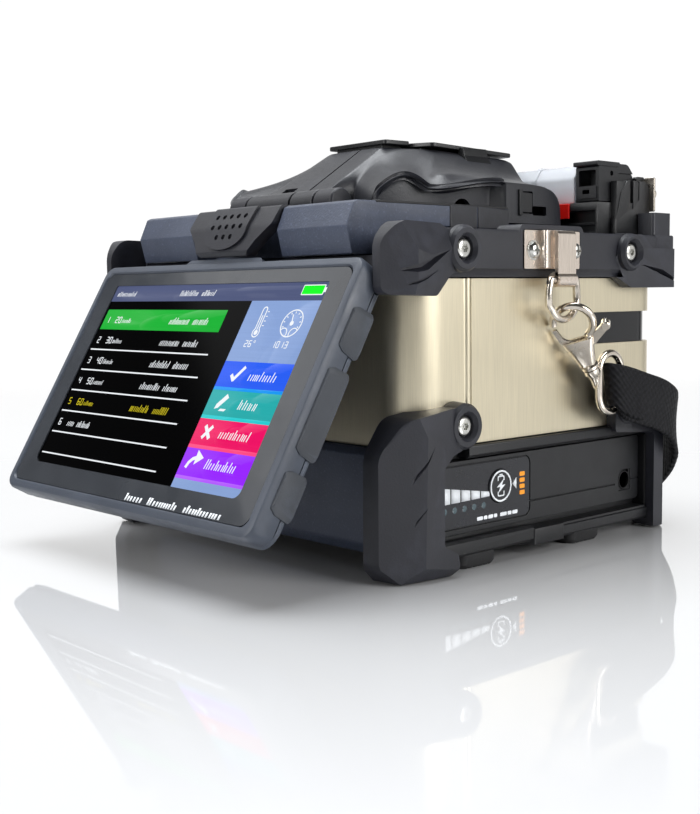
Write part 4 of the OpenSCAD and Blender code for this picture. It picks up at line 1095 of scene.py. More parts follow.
def on_display(outline):
    """From display millimetres, right and down from its top left corner, to the monitor's (x, z)."""
    return [(x - DISPLAY[0] / 2, -y - DISPLAY[2]) for x, y in outline]


LAYER = 0.04


def patch(outline, layer):
    """Thin lit patch; a higher layer covers a lower one."""
    face = 0.62 - layer * LAYER
    return prism("y", on_display(outline), face, face + LAYER * 0.9)


def line(points, wide, layer):
    face = 0.62 - layer * LAYER
    return stroke(on_display(points), wide, face, face + LAYER * 0.9)


def band(y0, y1, x0=76.9, x1=108):
    return rect(x0, x1, y0, y1)


def greeked(x0, x1, y, high, layer, rng, weight=0.11):
    """A plain run of short upright strokes where a word stood."""
    parts, x = [], x0
    while x < x1 - high * 0.2:
        tall = high * rng.choice((0.62, 0.62, 0.7, 0.95))
        foot = y + high / 2
        parts.append(line([(x, foot), (x + tall * 0.2, foot - tall)], high * weight, layer))
        x += high * rng.choice((0.26, 0.34, 0.4))
    return parts


def digit(n, x, y, high, layer):
    """Seven-stroke numeral."""
    w, h = high * 0.55, high
    spots = {"a": ((0, 0), (w, 0)), "b": ((w, 0), (w, h / 2)), "c": ((w, h / 2), (w, h)),
             "d": ((0, h), (w, h)),
             "e": ((0, h / 2), (0, h)), "f": ((0, 0), (0, h / 2)), "g": ((0, h / 2), (w, h / 2))}
    lit = {0: "abcdef", 1: "bc", 2: "abged", 3: "abgcd", 4: "fgbc", 5: "afgcd", 6: "afgedc"}[n]
    return [line([(x + a[0], y - h / 2 + a[1]), (x + b[0], y - h / 2 + b[1])], high * 0.13, layer)
            for a, b in (spots[s] for s in lit)]


def build_screen():
    w, h, _ = DISPLAY
    # the front glass: dark printed border, open over the lit area
    border = loft([inset_ring(6.5, 3.4, 0.2), inset_ring(6.5, 3.4, 1.25)])
    opening = prism("y", on_display(rounded(rect(0, w, 0, h), [0.6, 0.6, 2.6, 2.6], 5)), -1, 3)
    border = cut(border, opening)
    finished("front_glass", on_monitor(border), GLASS_EDGE, "monitor", ["monitor_glass"], bevel=0)
    back = patch(rounded(rect(-0.5, w + 0.5, -0.5, h + 0.5), 2.6, 5), 0)
    finished("display_panel", on_monitor(merged(back, cad_free("lcd_panel"))), SCREEN["black"], "monitor",
             ["lcd_panel"], bevel=0)
    rng = random.Random(5)
    parts = {name: [] for name in SCREEN}
    parts["slate"].append(patch(rect(0, w, 0, 5.8), 1))
    parts["leaf"].append(patch(rect(1, 67.2, 8.9, 16.3), 1))
    parts["steel"].append(patch(rect(76.9, w, 5.8, h), 1))
    for name, edge, y0, y1, y2 in (("blue", "sky", 25.4, 33.5, 34.5), ("teal", "aqua", 34.5, 42.4, 43.5),
                                   ("rose", "pink", 43.5, 51.5, 52.6),
                                   ("violet", "lilac", 52.6, 60.9, 61.9)):
        parts[name].append(patch(band(y0, y1), 2))
        parts[edge].append(patch(band(y1, y2), 2))
    for k in range(6):
        y = 23.8 + k * 7.5
        parts["white"].append(patch(rect(1.3, 67.1, y - 0.22, y + 0.22), 2))
    for k in range(6):
        y = 12.8 + k * 7.5
        name = "yellow" if k == 4 else "white"
        parts[name] += digit(k + 1, 3.2, y, 2.1, 3)
        if k < 5:
            parts[name] += digit((2, 3, 4, 5, 6)[k], 8.6, y, 2.1, 3) + digit(0, 10.5, y, 2.1, 3)
            parts[name] += greeked(12.6, 18.2, y + 0.2, 1.7, 3, rng)
            parts[name] += greeked(40, 50.5, y, 2.5, 3, rng) + greeked(52.5, 60.4, y, 2.5, 3, rng)
        else:
            parts[name] += greeked(8.6, 13.2, y, 2.3, 3, rng) + greeked(14.6, 22, y, 2.3, 3, rng)
    parts["white"] += greeked(2.5, 13.5, 3, 1.9, 3, rng)
    parts["white"] += greeked(39, 49, 3, 2.1, 3, rng) + greeked(50.6, 57.5, 3, 2.1, 3, rng)
    for x0, x1, y in ((90.6, 103, 29.6), (91.6, 100, 38.4), (88.6, 102.6, 47.4), (88.2, 102, 56.6)):
        parts["white"] += greeked(x0, x1, y, 3.1, 4, rng)
    # battery gauge
    parts["white"].append(patch(rounded(rect(97.5, 106.8, 0.8, 4.1), 0.3, 2), 2))
    parts["white"].append(patch(rect(106.8, 107.5, 1.7, 3.2), 2))
    parts["lime"].append(patch(rounded(rect(97.8, 106.5, 1.1, 3.8), 0.2, 2), 3))
    # thermometer and pressure gauge with their readings
    parts["white"] += [line([(84, 15), (84, 8.8), *arc(84.9, 8.8, 0.9, 180, 360, 8), (85.8, 8.8),
                             (85.8, 15)], 0.35, 3),
                       line(arc(84.9, 16.1, 1.45, -50, 230, 20), 0.35, 3),
                       patch(circle(84.9, 16.1, 0.8, 20), 3),
                       line([(84.9, 16), (84.9, 10.6)], 0.35, 3)]
    parts["white"] += [line([(86.4, 9.4 + k * 1.5), (87.2, 9.4 + k * 1.5)], 0.25, 3) for k in range(4)]
    parts["white"] += [line(arc(99, 13, 4.2, 0, 359, 36), 0.35, 3), patch(circle(99, 13, 0.75, 16), 3),
                       line([(99, 13), (98.2, 10.2)], 0.35, 3),
                       line(arc(96.8, 16.2, 1.7, 210, 400, 12), 0.3, 3),
                       line(arc(101.2, 16.2, 1.7, 140, 330, 12), 0.3, 3)]
    for k in range(9):
        a = math.radians(160 + k * 27.5)
        parts["white"].append(line([(99 + 3.1 * math.cos(a), 13 + 3.1 * math.sin(a)),
                                    (99 + 3.7 * math.cos(a), 13 + 3.7 * math.sin(a))], 0.3, 3))
    parts["white"] += digit(2, 82.2, 19.7, 1.9, 3) + digit(6, 84, 19.7, 1.9,
                                                           3) + [line(arc(86.3, 19, 0.35, 0, 350, 10), 0.15,
                                                                   3)]
    for k, n in enumerate((1, 0, 1, 3)):
        parts["white"] += digit(n, 94.6 + k * 1.8, 19.7, 1.9, 3)
    # button signs: tick, pencil, cross, return arrow
    parts["white"] += [line([(82.4, 29.6), (84.2, 31.4)], 1.1, 4), line([(83.8, 31.4), (87.4, 27)], 1.1, 4)]
    parts["white"] += [patch([(81.2, 40.4), (81.5, 38.9), (84.6, 35.6), (85.8, 36.7), (82.7, 40.0)], 4),
                       patch([(83.4, 40.9), (84, 40.2), (86.6, 40.2), (86, 40.9)], 4)]
    parts["white"] += [line([(81, 45.6), (84.6, 49.4)], 1.15, 4),
                       line([(84.4, 45.6), (81.2, 49.4)], 1.15, 4)]
    parts["white"] += [line([(79.8, 58.6), (80.4, 57), (81.6, 55.8), (83.4, 55.2)], 1.1, 4),
                       patch([(82.6, 53), (86.2, 55.1), (82.9, 57.4)], 4)]
    for name, solids in parts.items():
        if solids:
            finished("screen_" + name, on_monitor(merged(*solids)), SCREEN[name], "monitor", bevel=0)
    # greeked strokes in place of the words on the lower border
    bars = []
    for x0, x1 in ((58.5, 67), (70, 84), (87.5, 104)):
        x = x0 - w / 2
        while x < x1 - w / 2:
            tall = rng.choice((1.5, 1.5, 2.2))
            bars.append(prism("y",
                              [(x, -78.9), (x + 0.75, -78.9), (x + 0.75 + tall * 0.2, -78.9 + tall),
                               (x + tall * 0.2, -78.9 + tall)], 0.13, 0.22))
            x += rng.choice((1.15, 1.35, 1.6))
    finished("border_bars", on_monitor(merged(*bars)), WHITE, "monitor", bevel=0)


def cad_free(node):
    """A CAD node's shape turned back into the monitor's own frame."""
    return moved(cad_shape(node), MONITOR.inverted())


# ---- wind cover ----

# Half of the cover's skin: rows from the front foot over the top to the rear foot; in each row the points
# run from the middle over the top's edge, the flank and the two ridges to the foot of the skirt.
def cover_stations():
    t = HOOD_TOP
    return [
        [(0, -48.7, 105), (10, -48.7, 105), (15.5, -48.7, 105), (16.8, -36.2, 105), (24, -39.8, 105),
         (31, -43.2, 105), (35.6, -45.4, 105), (35.2, -44.4, 104.9), (34.8, -43.8, 104.6)],
        [(0, -48.9, 109.9), (10, -48.9, 109.9), (15.5, -48.8, 109.9), (17, -36, 110.2), (24, -39.4, 110.2),
         (31, -43, 110), (36, -45.5, 109.8), (35.4, -43.9, 109), (34.8, -43.2, 104.6)],
        [(0, -39.6, 115.6), (10, -39.6, 115.6), (14.7, -39.6, 115.4), (17, -35.6, 114.2), (24, -37, 114.2),
         (31.6, -40.4, 113.2), (38, -43.8, 112.4), (36.6, -41, 111.6), (36, -40, 104.6)],
        [(0, -29.8, 121.4), (10, -29.8, 121.4), (13.9, -29.6, 121.2), (16.6, -31, 118.8),
         (23.5, -31.5, 118.6), (32, -34.4, 117.4), (40, -37.7, 116), (38.4, -35.8, 114.9),
         (38.6, -35, 104.6)],
        [(0, -20, t - 0.1), (10, -20, t - 0.1), (12.7, -19.6, t - 0.2), (16.2, -21.2, 125.6),
         (23, -23.6, 121.6), (33, -29.2, 117), (42, -34.3, 114.5), (40, -31.5, 113.6), (40, -31, 104.6)],
        [(0, -11, t), (10, -11, t), (13.6, -11, t), (18, -11.6, 126.6), (25.6, -16.6, 121),
         (35, -24.4, 115.6), (43.4, -32.4, 112.4), (40.8, -28.6, 111.5), (40.6, -28, 104.6)],
        [(0, -3, t), (10, -3, t), (15.5, -3, t), (20, -2.2, 126.9), (28.4, -12, 121.8), (37, -22.5, 116.4),
         (44.4, -31, 111.3), (41.2, -26, 110.4), (41, -25, 104.6)],
        [(0, 3, t - 0.1), (10, 3, t - 0.1), (16.5, 3, t - 0.1), (21, 3, 126.6), (30, -6, 121),
         (42.8, -24.6, 115.7), (46, -25.8, 111.2), (41.8, -22, 110.2), (41.4, -21.4, 104.6)],
        [(0, 8, t - 0.3), (10, 8, t - 0.3), (17, 8, t - 0.4), (21.6, 8, 126.3), (31, -0.5, 120.2),
         (42, -17, 117), (48, -17.8, 112.6), (43, -15.5, 111.4), (42.4, -15, 104.6)],
        [(0, 13, t - 0.6), (10, 13, t - 0.6), (17.6, 13, t - 0.7), (22, 13, 126), (31.4, 5.5, 119.6),
         (42.4, -9, 116.6), (49.5, -9.5, 114.1), (44, -8.4, 113), (43.4, -8, 104.6)],
        [(0, 17, t - 0.9), (10, 17, t - 0.9), (18.2, 17, t - 1), (22.6, 17, 125.8), (31.4, 10.5, 119.2),
         (42.8, -2, 116.2), (49.6, -2.8, 114.3), (44.2, -2.6, 113.2), (43.8, -2.5, 104.6)],
        [(0, 20, t - 1.1), (10, 20, t - 1.1), (18.6, 20, t - 1.2), (23, 20, 125.7), (31.3, 14.5, 118.9),
         (42.8, 2, 116), (49.6, -0.6, 114.3), (49.5, -0.8, 113.4), (49.5, -0.8, 101.7)],
        [(0, 25, t - 1.4), (10, 25, t - 1.4), (19.2, 25, t - 1.5), (23.5, 25, 125.6), (31, 21, 118.3),
         (42.4, 12, 115.6), (49.6, 11, 114.3), (49.6, 11, 113.3), (49.6, 11, 101.7)],
        [(0, 29.4, t - 1.7), (10, 29.4, t - 1.7), (19.6, 29.4, t - 1.8), (24, 29.2, 125.4),
         (30.4, 27.6, 118), (41.6, 22, 115.2), (49.5, 20.5, 113.8), (49.6, 20.5, 112.8),
         (49.6, 20.5, 101.7)],
        [(0, 31.9, t - 2.2), (10, 31.9, t - 2.2), (20, 31.9, t - 2.3), (24.6, 31.4, 124.4),
         (30.2, 30.8, 117.4), (40.4, 27.2, 114), (48.9, 26.2, 111.4), (49.3, 26.2, 110.4),
         (49.4, 26.2, 101.7)],
        [(0, 33, t - 6), (10, 33, t - 6), (20.4, 33, t - 6.2), (25.2, 32.4, 120), (30.6, 31.6, 114.4),
         (39.8, 29, 110.8), (47.8, 28.4, 107), (48.4, 28.4, 106), (48.6, 28.4, 101.7)],
        [(0, 33.6, 110.2), (10, 33.6, 110.2), (20.4, 33.6, 110.2), (25.6, 33, 110), (30.6, 32, 109),
         (39, 29.4, 106), (46.6, 28.8, 103.4), (47.4, 28.8, 102.6), (47.6, 28.8, 101.7)]]


def cover_skin():
    """Sculpted skin through the stations, folded sharply along its ridges, with a wall's thickness."""
    bm = bmesh.new()
    crease = bm.edges.layers.float.new("crease_edge")
    rows = []
    for half in cover_stations():
        left = [bm.verts.new((-x, y, z)) for x, y, z in half[:0:-1]]
        rows.append(left + [bm.verts.new(p) for p in half])
    mid = len(rows[0]) // 2
    for a, b in zip(rows, rows[1:]):
        for k in range(2 * mid):
            bm.faces.new((a[k], b[k], b[k + 1], a[k + 1]))
    bmesh.ops.recalc_face_normals(bm, faces=bm.faces)
    # how sharp each fold is: (column or row, first, last, sharpness)
    along_rows = [(2, 0, 4, 0.9), (2, 4, 16, 0.45), (3, 0, 3, 0.5), (3, 4, 16, 0.5), (4, 11, 16, 0.35),
                  (5, 6, 8, 0.7), (5, 8, 10, 0.4),
                  (6, 1, 13, 0.8), (6, 13, 16, 0.4), (7, 0, 16, 0.75), (8, 0, 16, 1.0)]
    across = [(0, 0, 8, 1.0), (1, 0, 3, 0.6), (4, 0, 2, 0.6), (6, 3, 6, 0.55), (10, 6, 8, 0.9),
              (11, 6, 8, 0.9), (14, 0, 4, 0.5), (16, 0, 8, 1.0)]
    for side in (1, -1):
        for column, first, last, sharp in along_rows:
            for i in range(first, last):
                bm.edges.get((rows[i][mid + side * column],
                              rows[i + 1][mid + side * column]))[crease] = sharp
        for row, first, last, sharp in across:
            for k in range(first, last):
                bm.edges.get((rows[row][mid + side * k], rows[row][mid + side * (k + 1)]))[crease] = sharp
    mesh = bpy.data.meshes.new("skin")
    bm.to_mesh(mesh)
    bm.free()
    obj = bpy.data.objects.new("skin", mesh)
    bpy.context.scene.collection.objects.link(obj)
    step = obj.modifiers.new("smooth", "SUBSURF")
    step.levels = 3
    step = obj.modifiers.new("wall", "SOLIDIFY")
    step.thickness, step.offset, step.use_even_offset = 1.6, -1, False
    result = bmesh.new()
    result.from_object(obj, bpy.context.evaluated_depsgraph_get())
    bpy.data.objects.remove(obj)
    bpy.data.meshes.remove(mesh)
    return result


def slope_block(foot, head, a, b, thick, lift=0.0):
    """Bar on the front slope between two heights (0 foot, 1 top); foot and head are its x ranges there."""
    low, high = Vector((-48.8, 109.9)), Vector((-19.8, 127.4))
    along = (high - low).normalized()
    out = Vector((-along.y, along.x))
    bm = bmesh.new()
    rings = []
    for level, (x0, x1) in ((a, foot), (b, head)):
        p = low.lerp(high, level) + out * lift
        q = p + out * thick
        rings.append([bm.verts.new(c) for c in ((x0, *p), (x1, *p), (x1, *q), (x0, *q))])
    for k in range(4):
        bm.faces.new((rings[0][k], rings[0][(k + 1) % 4], rings[1][(k + 1) % 4], rings[1][k]))
    bm.faces.new(rings[0][::-1])
    bm.faces.new(rings[1])
    bmesh.ops.recalc_face_normals(bm, faces=bm.faces)
    return bm


def build_cover():
    skin = cover_skin()
    notch = both(prism("x",
                       [(-17.6, 100), (-17.6, 105.5), *arc(-14, 105.5, 3.6, 180, 0, 12), (-10.4, 105.5),
                        (-10.4, 100)], 39, 52))
    grooves = [slope_block((5.0, 5.9), (2.6, 3.4), -0.06, 1.1, 3, -0.6),
               slope_block((-9, -2.4), (-9.4, -3.4), 0.07, 0.24, 3, -1.1)]
    latch = [both(prism("x", rounded(rect(5.5, 12.2, 104.8, 112), 0.4), 48.2, 52)),
             both(prism("x", rounded(rect(12.2, 19.2, 104.4, 107.4), 0.5), 47.8, 52))]
    knuckle_gap = both(rod("x", HOOD_PIN, 5.0, 16.5, 26.4))
    skin = cut(skin, notch, *grooves, *latch, knuckle_gap)
    finished("wind_cover_shell", skin, COVER, "wind_cover", ["wind_cover"], bevel=0, hard=32)
    barrel = cut(turned("x", HOOD_PIN, [(4.2, -16.5), (4.5, -16.2), (4.5, 16.2), (4.2, 16.5)], 48),
                 rod("x", HOOD_PIN, 1.6, -30, 30), slab((5.0, 5.9), (-60, -40), (100, 120)))
    finished("cover_hinge_barrel", barrel, COVER, "wind_cover", bevel=0.25)
    keeper = both(merged(prism("x", rounded(rect(6.0, 11.8, 105.2, 111.5), 0.3), 47.4, 49.8),
                         prism("x", rounded(rect(5.0, 6.6, 104.2, 112.4), 0.2), 47.4, 50.3)))
    finished("cover_latch_keepers", keeper, BODY_DARK, "wind_cover", bevel=0.2)
    fixed = merged(rod("x", HOOD_PIN, 1.5, -25.2, 25.2, 24),
                   both(turned("x", HOOD_PIN,
                               [(4.0, 16.9), (4.5, 17.2), (4.5, 25.0), (4.0, 25.6), (1.2, 25.7)], 48)))
    finished("cover_hinge_knuckles", fixed, BODY, "chassis", ["cover_hinge_pin"], bevel=0.2)
    # thin black plates on top: a narrow one in front, a wider one behind it, and side tabs
    top = HOOD_TOP
    front = prism("z",
                  rounded([(-13.9, -19.2), (13.9, -19.2), (14.8, -9), (12.5, -7.6), (-12.5, -7.6),
                           (-14.8, -9)], [1.2, 1.2, 1, 1, 1, 1], 4),
                  top + 0.9, top + 2.35)
    rear = prism("z",
                 rounded([(-13.5, -7.4), (13.5, -7.4), (21.5, -4.6), (24.6, 31.6), (-24.6, 31.6),
                          (-21.5, -4.6)], [1, 1, 2, 1.2, 1.2, 2], 4),
                 top + 0.5, top + 1.9)
    rear = moved(rear, turned_round((0, -7, top), "X", -2.7))
    posts = merged(slab((-11, 11), (-18, -9), (top - 1, top + 1.2)),
                   slab((-17, 17), (-6, 28), (top - 2.4, top + 0.2)),
                   prism("y", rounded([(-9, top), (-7, top + 2.2), (7, top + 2.2), (9, top)], 0.4), -9.4,
                         -5))
    tabs = both(prism("y",
                      rounded([(21.6, top + 0.7), (24.0, top + 0.7), (24.6, 125.4), (27.4, 121.4),
                               (25.2, 121.2), (21.6, 125)], 0.3), 7.2, 19.2))
    finished("cover_top_plates", merged(front, rear, posts), COVER_PLATE, "wind_cover",
             ["cover_top_plates"], bevel=0.3)
    finished("cover_side_tabs", tabs, COVER_PLATE, "wind_cover", bevel=0.3)
    refined("cover_lamp", LAMP, 0.3, "wind_cover")


# ---- splicing unit, under the cover ----

def build_splicer():
    for node, look, bevel in (("v_groove_block", ALUMINIUM, 0.15), ("electrodes", STEEL, 0.1),
                              ("objectives", ALUMINIUM, 0.2), ("sheath_holders", ALUMINIUM, 0.25)):
        refined(node, look, bevel)
    for side in ("right", "left"):
        for node, bevel in (("fibre_clamp_" + side, 0.2), ("holder_lid_" + side, 0.25)):
            refined(node, BODY_DARK, bevel, body=node)
    for node, look, bevel in (("drive_motors", STEEL, 0.3), ("main_board", BOARD, 0.1),
                              ("power_module", ALUMINIUM, 0.5)):
        refined(node, look, bevel)


# ---- heater ----

def build_heater():
    base = cad_shape("heater_base")
    recess = both(merged(slab((41.5, 58.8), (30, 35.6), (102.4, 106.4)),
                         slab((41.5, 58.8), (30, 34.4), (99.4, 101.6))))
    upright = both(fused(
        prism("x", rounded([(39.6, 98.4), (39.6, 103), (42, 112), (45.6, 116.4), (56, 116.4), (58.4, 114),
                            (58.4, 98.4)],
                           [0, 3, 3, 1.5, 1, 1, 0]), 60.2, 62.7),
        prism("x", rounded([(54, 98.4), (54, 118.2), (58.6, 118.2), (59.2, 98.4)], [0, 0.8, 0.8, 0]), 58.8,
              60.4)))
    base = cut(base, recess)
    slot = both(merged(prism("x", rounded(rect(47.2, 49.0, 107, 120), 0.3), 59.9, 64),
                       slab((59.9, 64), (51.2, 52.4), (110, 120))))
    finished("heater_base", merged(base, cut(upright, slot)), COVER_PLATE, "chassis", ["heater_base"],
             bevel=0.3)
    refined("heater_trough", ALUMINIUM, 0.15)
    marker = both(fused(slab((40.6, 48.6), (32.1, 33), (104, 108.8)),
                        slab((40.6, 48.6), (32.1, 36.4), (108.2, 109.0))))
    finished("heater_marker", marker, RED, "chassis", ["heater_marker"], bevel=0.2)
    # clear lid: thin wall with cross ribs and a moulded lip
    outer = prism("x",
                  rounded([(35, 109.3), (34.6, 117.6), (38, 121.9), (50, 121.9), (53.5, 117),
                           (53.5, 109.3)], [0.3, 2.5, 2, 2, 2, 0.3]), -49, 49)
    inner = prism("x",
                  rounded([(36.4, 100), (36, 117), (38.6, 120.5), (49.4, 120.5), (52.1, 116.6),
                           (52.1, 100)], [0, 2, 1.5, 1.5, 1.5, 0]), -47.6, 47.6)
    lid = cut(outer, inner)
    ribs = [cut(prism("x",
                      rounded([(34.6, 112), (34.3, 117.8), (37.8, 122.3), (50.2, 122.3), (53.9, 117.2),
                               (53.9, 112)], 1.5), x - 0.8, x + 0.8),
                prism("x", [(35.4, 100), (35.4, 117.4), (38.4, 121.2), (49.8, 121.2), (52.8, 117),
                            (52.8, 100)], -60, 60)) for x in (-32, -16, 0, 16, 32)]
    barrels = [turned("x", HEATER_PIN,
                      [(2.1, x), (2.3, x + 0.3), (2.3, x + 9.7), (2.1, x + 10)]) for x in (-8, 16, -26)]
    webs = [slab((x, x + 10), (52.4, HEATER_PIN[0]), (109.4, 113.2)) for x in (-8, 16, -26)]
    lid = cut(fused(merged(lid), *barrels, *webs),
              *[rod("x", HEATER_PIN, 3, x - 0.3, x + 3.3) for x in (-12, 8)],
              rod("x", HEATER_PIN, 1.25, -60, 60))
    finished("heater_lid", merged(lid, *ribs), CLEAR, "heater_lid", ["heater_lid"], bevel=0.25)
    for side, s in (("right", 1), ("left", -1)):
        shape = rounded([(34, 109.4), (33.8, 120.6), (35.4, 122), (50, 122), (54, 118), (54, 109.4)],
                        [0.3, 1.2, 0.8, 3, 2, 0.3])
        clamp = prism("x", shape, 50.4, 59.6)
        roof = prism("x", rounded([(32.6, 120.9), (32.6, 122.4), (45, 122.4), (45, 120.9)], 0.4), 50.2,
                     60.0)
        clamp = fused(clamp, roof,
                      turned("x", HEATER_PIN, [(2.1, 50.4), (2.3, 50.7), (2.3, 59.3), (2.1, 59.6)]))
        clamp = cut(clamp, prism("y", rounded(rect(51.6, 58.4, 111, 119.6), 0.5), 30, 40.5),
                    rod("x", (41, 118.7), 0.85, 57, 62),
                    rod("x", HEATER_PIN, 1.25, 40, 70),
                    prism("x", rounded(rect(44.5, 60, 115, 119), 0.8), 58.9, 62))
        lip = prism("y", rounded([(51.4, 110.4), (51.4, 114.4), (58.8, 114.4), (58.8, 110.4)], 0.4), 33.4,
                    34.6)
        window = prism("y", rounded(rect(53.4, 56.2, 111.8, 113.2), 0.2), 33, 35)
        clamp = fused(clamp, cut(lip, window))
        if s < 0:
            clamp = mirrored(clamp)
        finished("heater_clamp_" + side, clamp, BODY_DARK, "heater_clamp_" + side, ["heater_clamp_" + side],
                 bevel=0.25)
    leaf = prism("y", rounded([(60.5, 106.4), (60.5, 117.9), (64.6, 117.9), (64.6, 106.4)], 0.6), 58.2,
                 59.1)
    head = turned("y", (62.5, 112.4), [(1.9, 59.0), (2.0, 59.9), (1.4, 60.6), (0.3, 60.7)], 28)
    finished("heater_leaf_springs", both(merged(leaf, head)), NICKEL, "chassis", ["heater_springs"],
             bevel=0.12)


# ---- carrying hardware ----

RING_BAR = (73.1, 83.4)
STRAP_RING = Vector((74, 20.8, 50.9))


def sided(bm, side):
    return mirrored(bm) if side < 0 else bm


def build_bracket():
    """Nickel bracket: flange, raised fold beside the tongue, tongue rolled round the ring's bar."""
    z0, z1 = 86.7, 98.1
    base = prism("x", rounded([(-16.9, z0), (-16.9, z1), (9.7, z1), (9.7, z0)], 0.5), 69.05, 70.2)
    fold = prism("z",
                 rounded([(70.0, -9.9), (72.6, -9.9), (72.6, -6.5), (71.3, -6.5), (71.3, -8.6),
                          (70.0, -8.6)], [0, 0.9, 0.3, 0.3, 0.3, 0], 4), z0 + 0.2, z1)
    tongue = prism("y",
                   rounded([(70.0, 98.15), (74.6, 98.15), (74.6, 83.4), (73.35, 83.4), (73.35, 96.9),
                            (70.0, 96.9)],
                                [0, 1.6, 0, 0, 0.8, 0], 5), -6.4, 2.2)
    roll = cut(rod("y", RING_BAR, 2.3, -6.4, 2.2, 32), rod("y", RING_BAR, 1.3, -9, 9, 32))
    bracket = fused(base, fold, tongue)
    bracket = cut(bracket, rod("y", RING_BAR, 1.35, -9, 9, 32))
    return merged(bracket, roll)


def cross_screw(y, z, x):
    head = turned("x", (y, z),
                  [(1.2, x - 3), (1.25, x - 0.4), (2.4, x - 0.35), (2.4, x + 0.5), (1.9, x + 1.2),
                   (1.2, x + 1.5)], 36)
    cross = fused(slab((x + 0.5, x + 2), (y - 1.3, y + 1.3), (z - 0.28, z + 0.28)),
                  slab((x + 0.5, x + 2), (y - 0.28, y + 0.28), (z - 1.3, z + 1.3)))
    return cut(head, cross)


def build_hardware():
    finished("strap_brackets", both(build_bracket()), SATIN, "chassis", ["strap_brackets"], bevel=0.18)
    screws = merged(*[cross_screw(y, 92.2, 70.2) for y in (-12.7, 7.3)])
    washer = cut(turned("x", (-12.7, 92.2), [(3.0, 70.1), (3.0, 70.5)], 32),
                 rod("x", (-12.7, 92.2), 1.3, 69, 72))
    finished("bracket_screws", both(merged(screws, washer)), SCREW, "chassis", bevel=0.06)
    for side, s in (("right", 1), ("left", -1)):
        # D-ring: straight bar in the bracket, long bow below
        bar, r, drop = Vector((RING_BAR[0], -2.1, RING_BAR[1])), 6.1, 5.9
        bow = [(0, -r, 0), (0, -r - 0.9, -drop * 0.6), (0, -r - 0.8, -drop * 1.3),
               *[(0, -(r + 0.3) * math.cos(a),
                  -drop - r * math.sin(a)) for a in [math.pi * k / 20 for k in range(3, 18)]],
               (0, r + 0.5, -drop * 1.2), (0, r + 0.4, -drop * 0.6), (0, r, 0)]
        path = smooth_route([bar + Vector(p) for p in bow], 2)
        ring = merged(wire(path + [bar + Vector((0, r * k / 4, 0)) for k in range(3, -4, -1)], 1.18, 14,
                           closed=True))
        finished("d_ring_" + side, sided(ring, s), NICKEL, "d_ring_" + side, ["d_ring_" + side], bevel=0,
                 hard=60)
        hook_at = hook_at_rest()
        loop = [(6 * math.cos(math.radians(a)), 0, 6 * math.sin(math.radians(a))) for a in range(-58, 173,
                6)]
        tip = wire(loop, 1.2, 14)
        body = loft([[(x * sx, y, z) for x, y in centred(w, d, min(w, d) * 0.45, 5)] for z, w, d, sx in
                     ((-15.2, 5.2, 3.8, 1), (-13.5, 6.0, 4.2, 1), (-10, 7.8, 4.4, 1), (-7.4, 9.4, 4.0, 1),
                      (-6.0, 10.2, 3.4, 1))])
        body = moved(body, Matrix.Translation((-0.4, 0, 0)))
        slot = slab((-9, 9), (-0.75, 0.75), (-12.4, -3.4))
        body = cut(body, slot)
        collar = turned("z", (0, 0), [(2.3, -16.8), (2.75, -16.5), (2.75, -15.6), (2.2, -15.1)], 32)
        collar = cut(collar, rod("z", (0, 0), 1.05, -20, -13, 20))
        rivet = merged(turned("y", (0, -9.2),
                              [(0.75, -2.3), (1.25, -2.25), (1.25, -1.9), (0.7, -1.7), (0.7, 1.7),
                               (1.25, 1.9), (1.25, 2.25), (0.75, 2.3)], 24))
        neck = wire(smooth_route([(3.18, 0, -5.09), (3.0, 0, -5.9), (2.6, 0, -7.2), (2.4, 0, -8.6)], 4),
                    1.3, 14)
        hook = moved(merged(tip, body, collar, rivet, neck), hook_at)
        finished("snap_hook_" + side, sided(hook, s), NICKEL, "hook_" + side, ["hook_" + side], bevel=0.12,
                 hard=40)
        lever = prism("y",
                      rounded([(-6.9, -0.6), (-5.5, -0.6), (-4.6, -4.3), (-1.2, -7.2), (2.2, -7),
                               (9.0, -2.2), (10.2, -2.6), (10.4, -4.2),
                                    (3.4, -9.4), (1.4, -11.4), (-1.4, -11.4), (-5.9, -5.6)],
                                    [0.4, 0.4, 2, 1, 1, 0.8, 0.8, 0.8, 1, 1, 1, 2], 4), -0.5, 0.5)
        thumb = turned("y", (9.2, -3.4), [(1.2, -1.5), (1.45, -1.2), (1.45, 1.2), (1.2, 1.5)], 24)
        lever = cut(fused(lever, thumb), rod("y", (0, -9.2), 0.8, -3, 3, 20))
        finished("hook_trigger_" + side, sided(moved(lever, hook_at), s), NICKEL, "trigger_" + side,
                 ["trigger_" + side], bevel=0.1)
    swivel = merged(turned("z", (0, 0),
                           [(1.0, -13.6), (1.0, -16.9), (2.5, -17.0), (2.6, -18.4), (1.9, -19.6),
                            (1.5, -21.0), (1.5, -23.8)], 28))
    swivel = moved(swivel, hook_at_rest())
    arch = [Vector((0, 5.8 * math.cos(a),
                    5.8 * math.sin(a) + 3.5)) for a in [math.pi * k / 20 for k in range(21)]]
    oval = [*arch, *[-p for p in arch]]
    eye = wire([p + STRAP_RING for p in oval], 1.18, 14, closed=True)
    finished("strap_rings_wire", both(merged(swivel, eye)), NICKEL, "chassis", ["strap_rings"], bevel=0,
             hard=50)


def hook_at_rest():
    return Matrix.Translation((73.1, 2.7, 70.1)) @ Matrix.Rotation(math.radians(33), 4,
            "X") @ Matrix.Rotation(math.radians(30), 4, "Z")


# ---- floor, light and background ----

VIEW = Vector((-0.739, 0.674, 0))


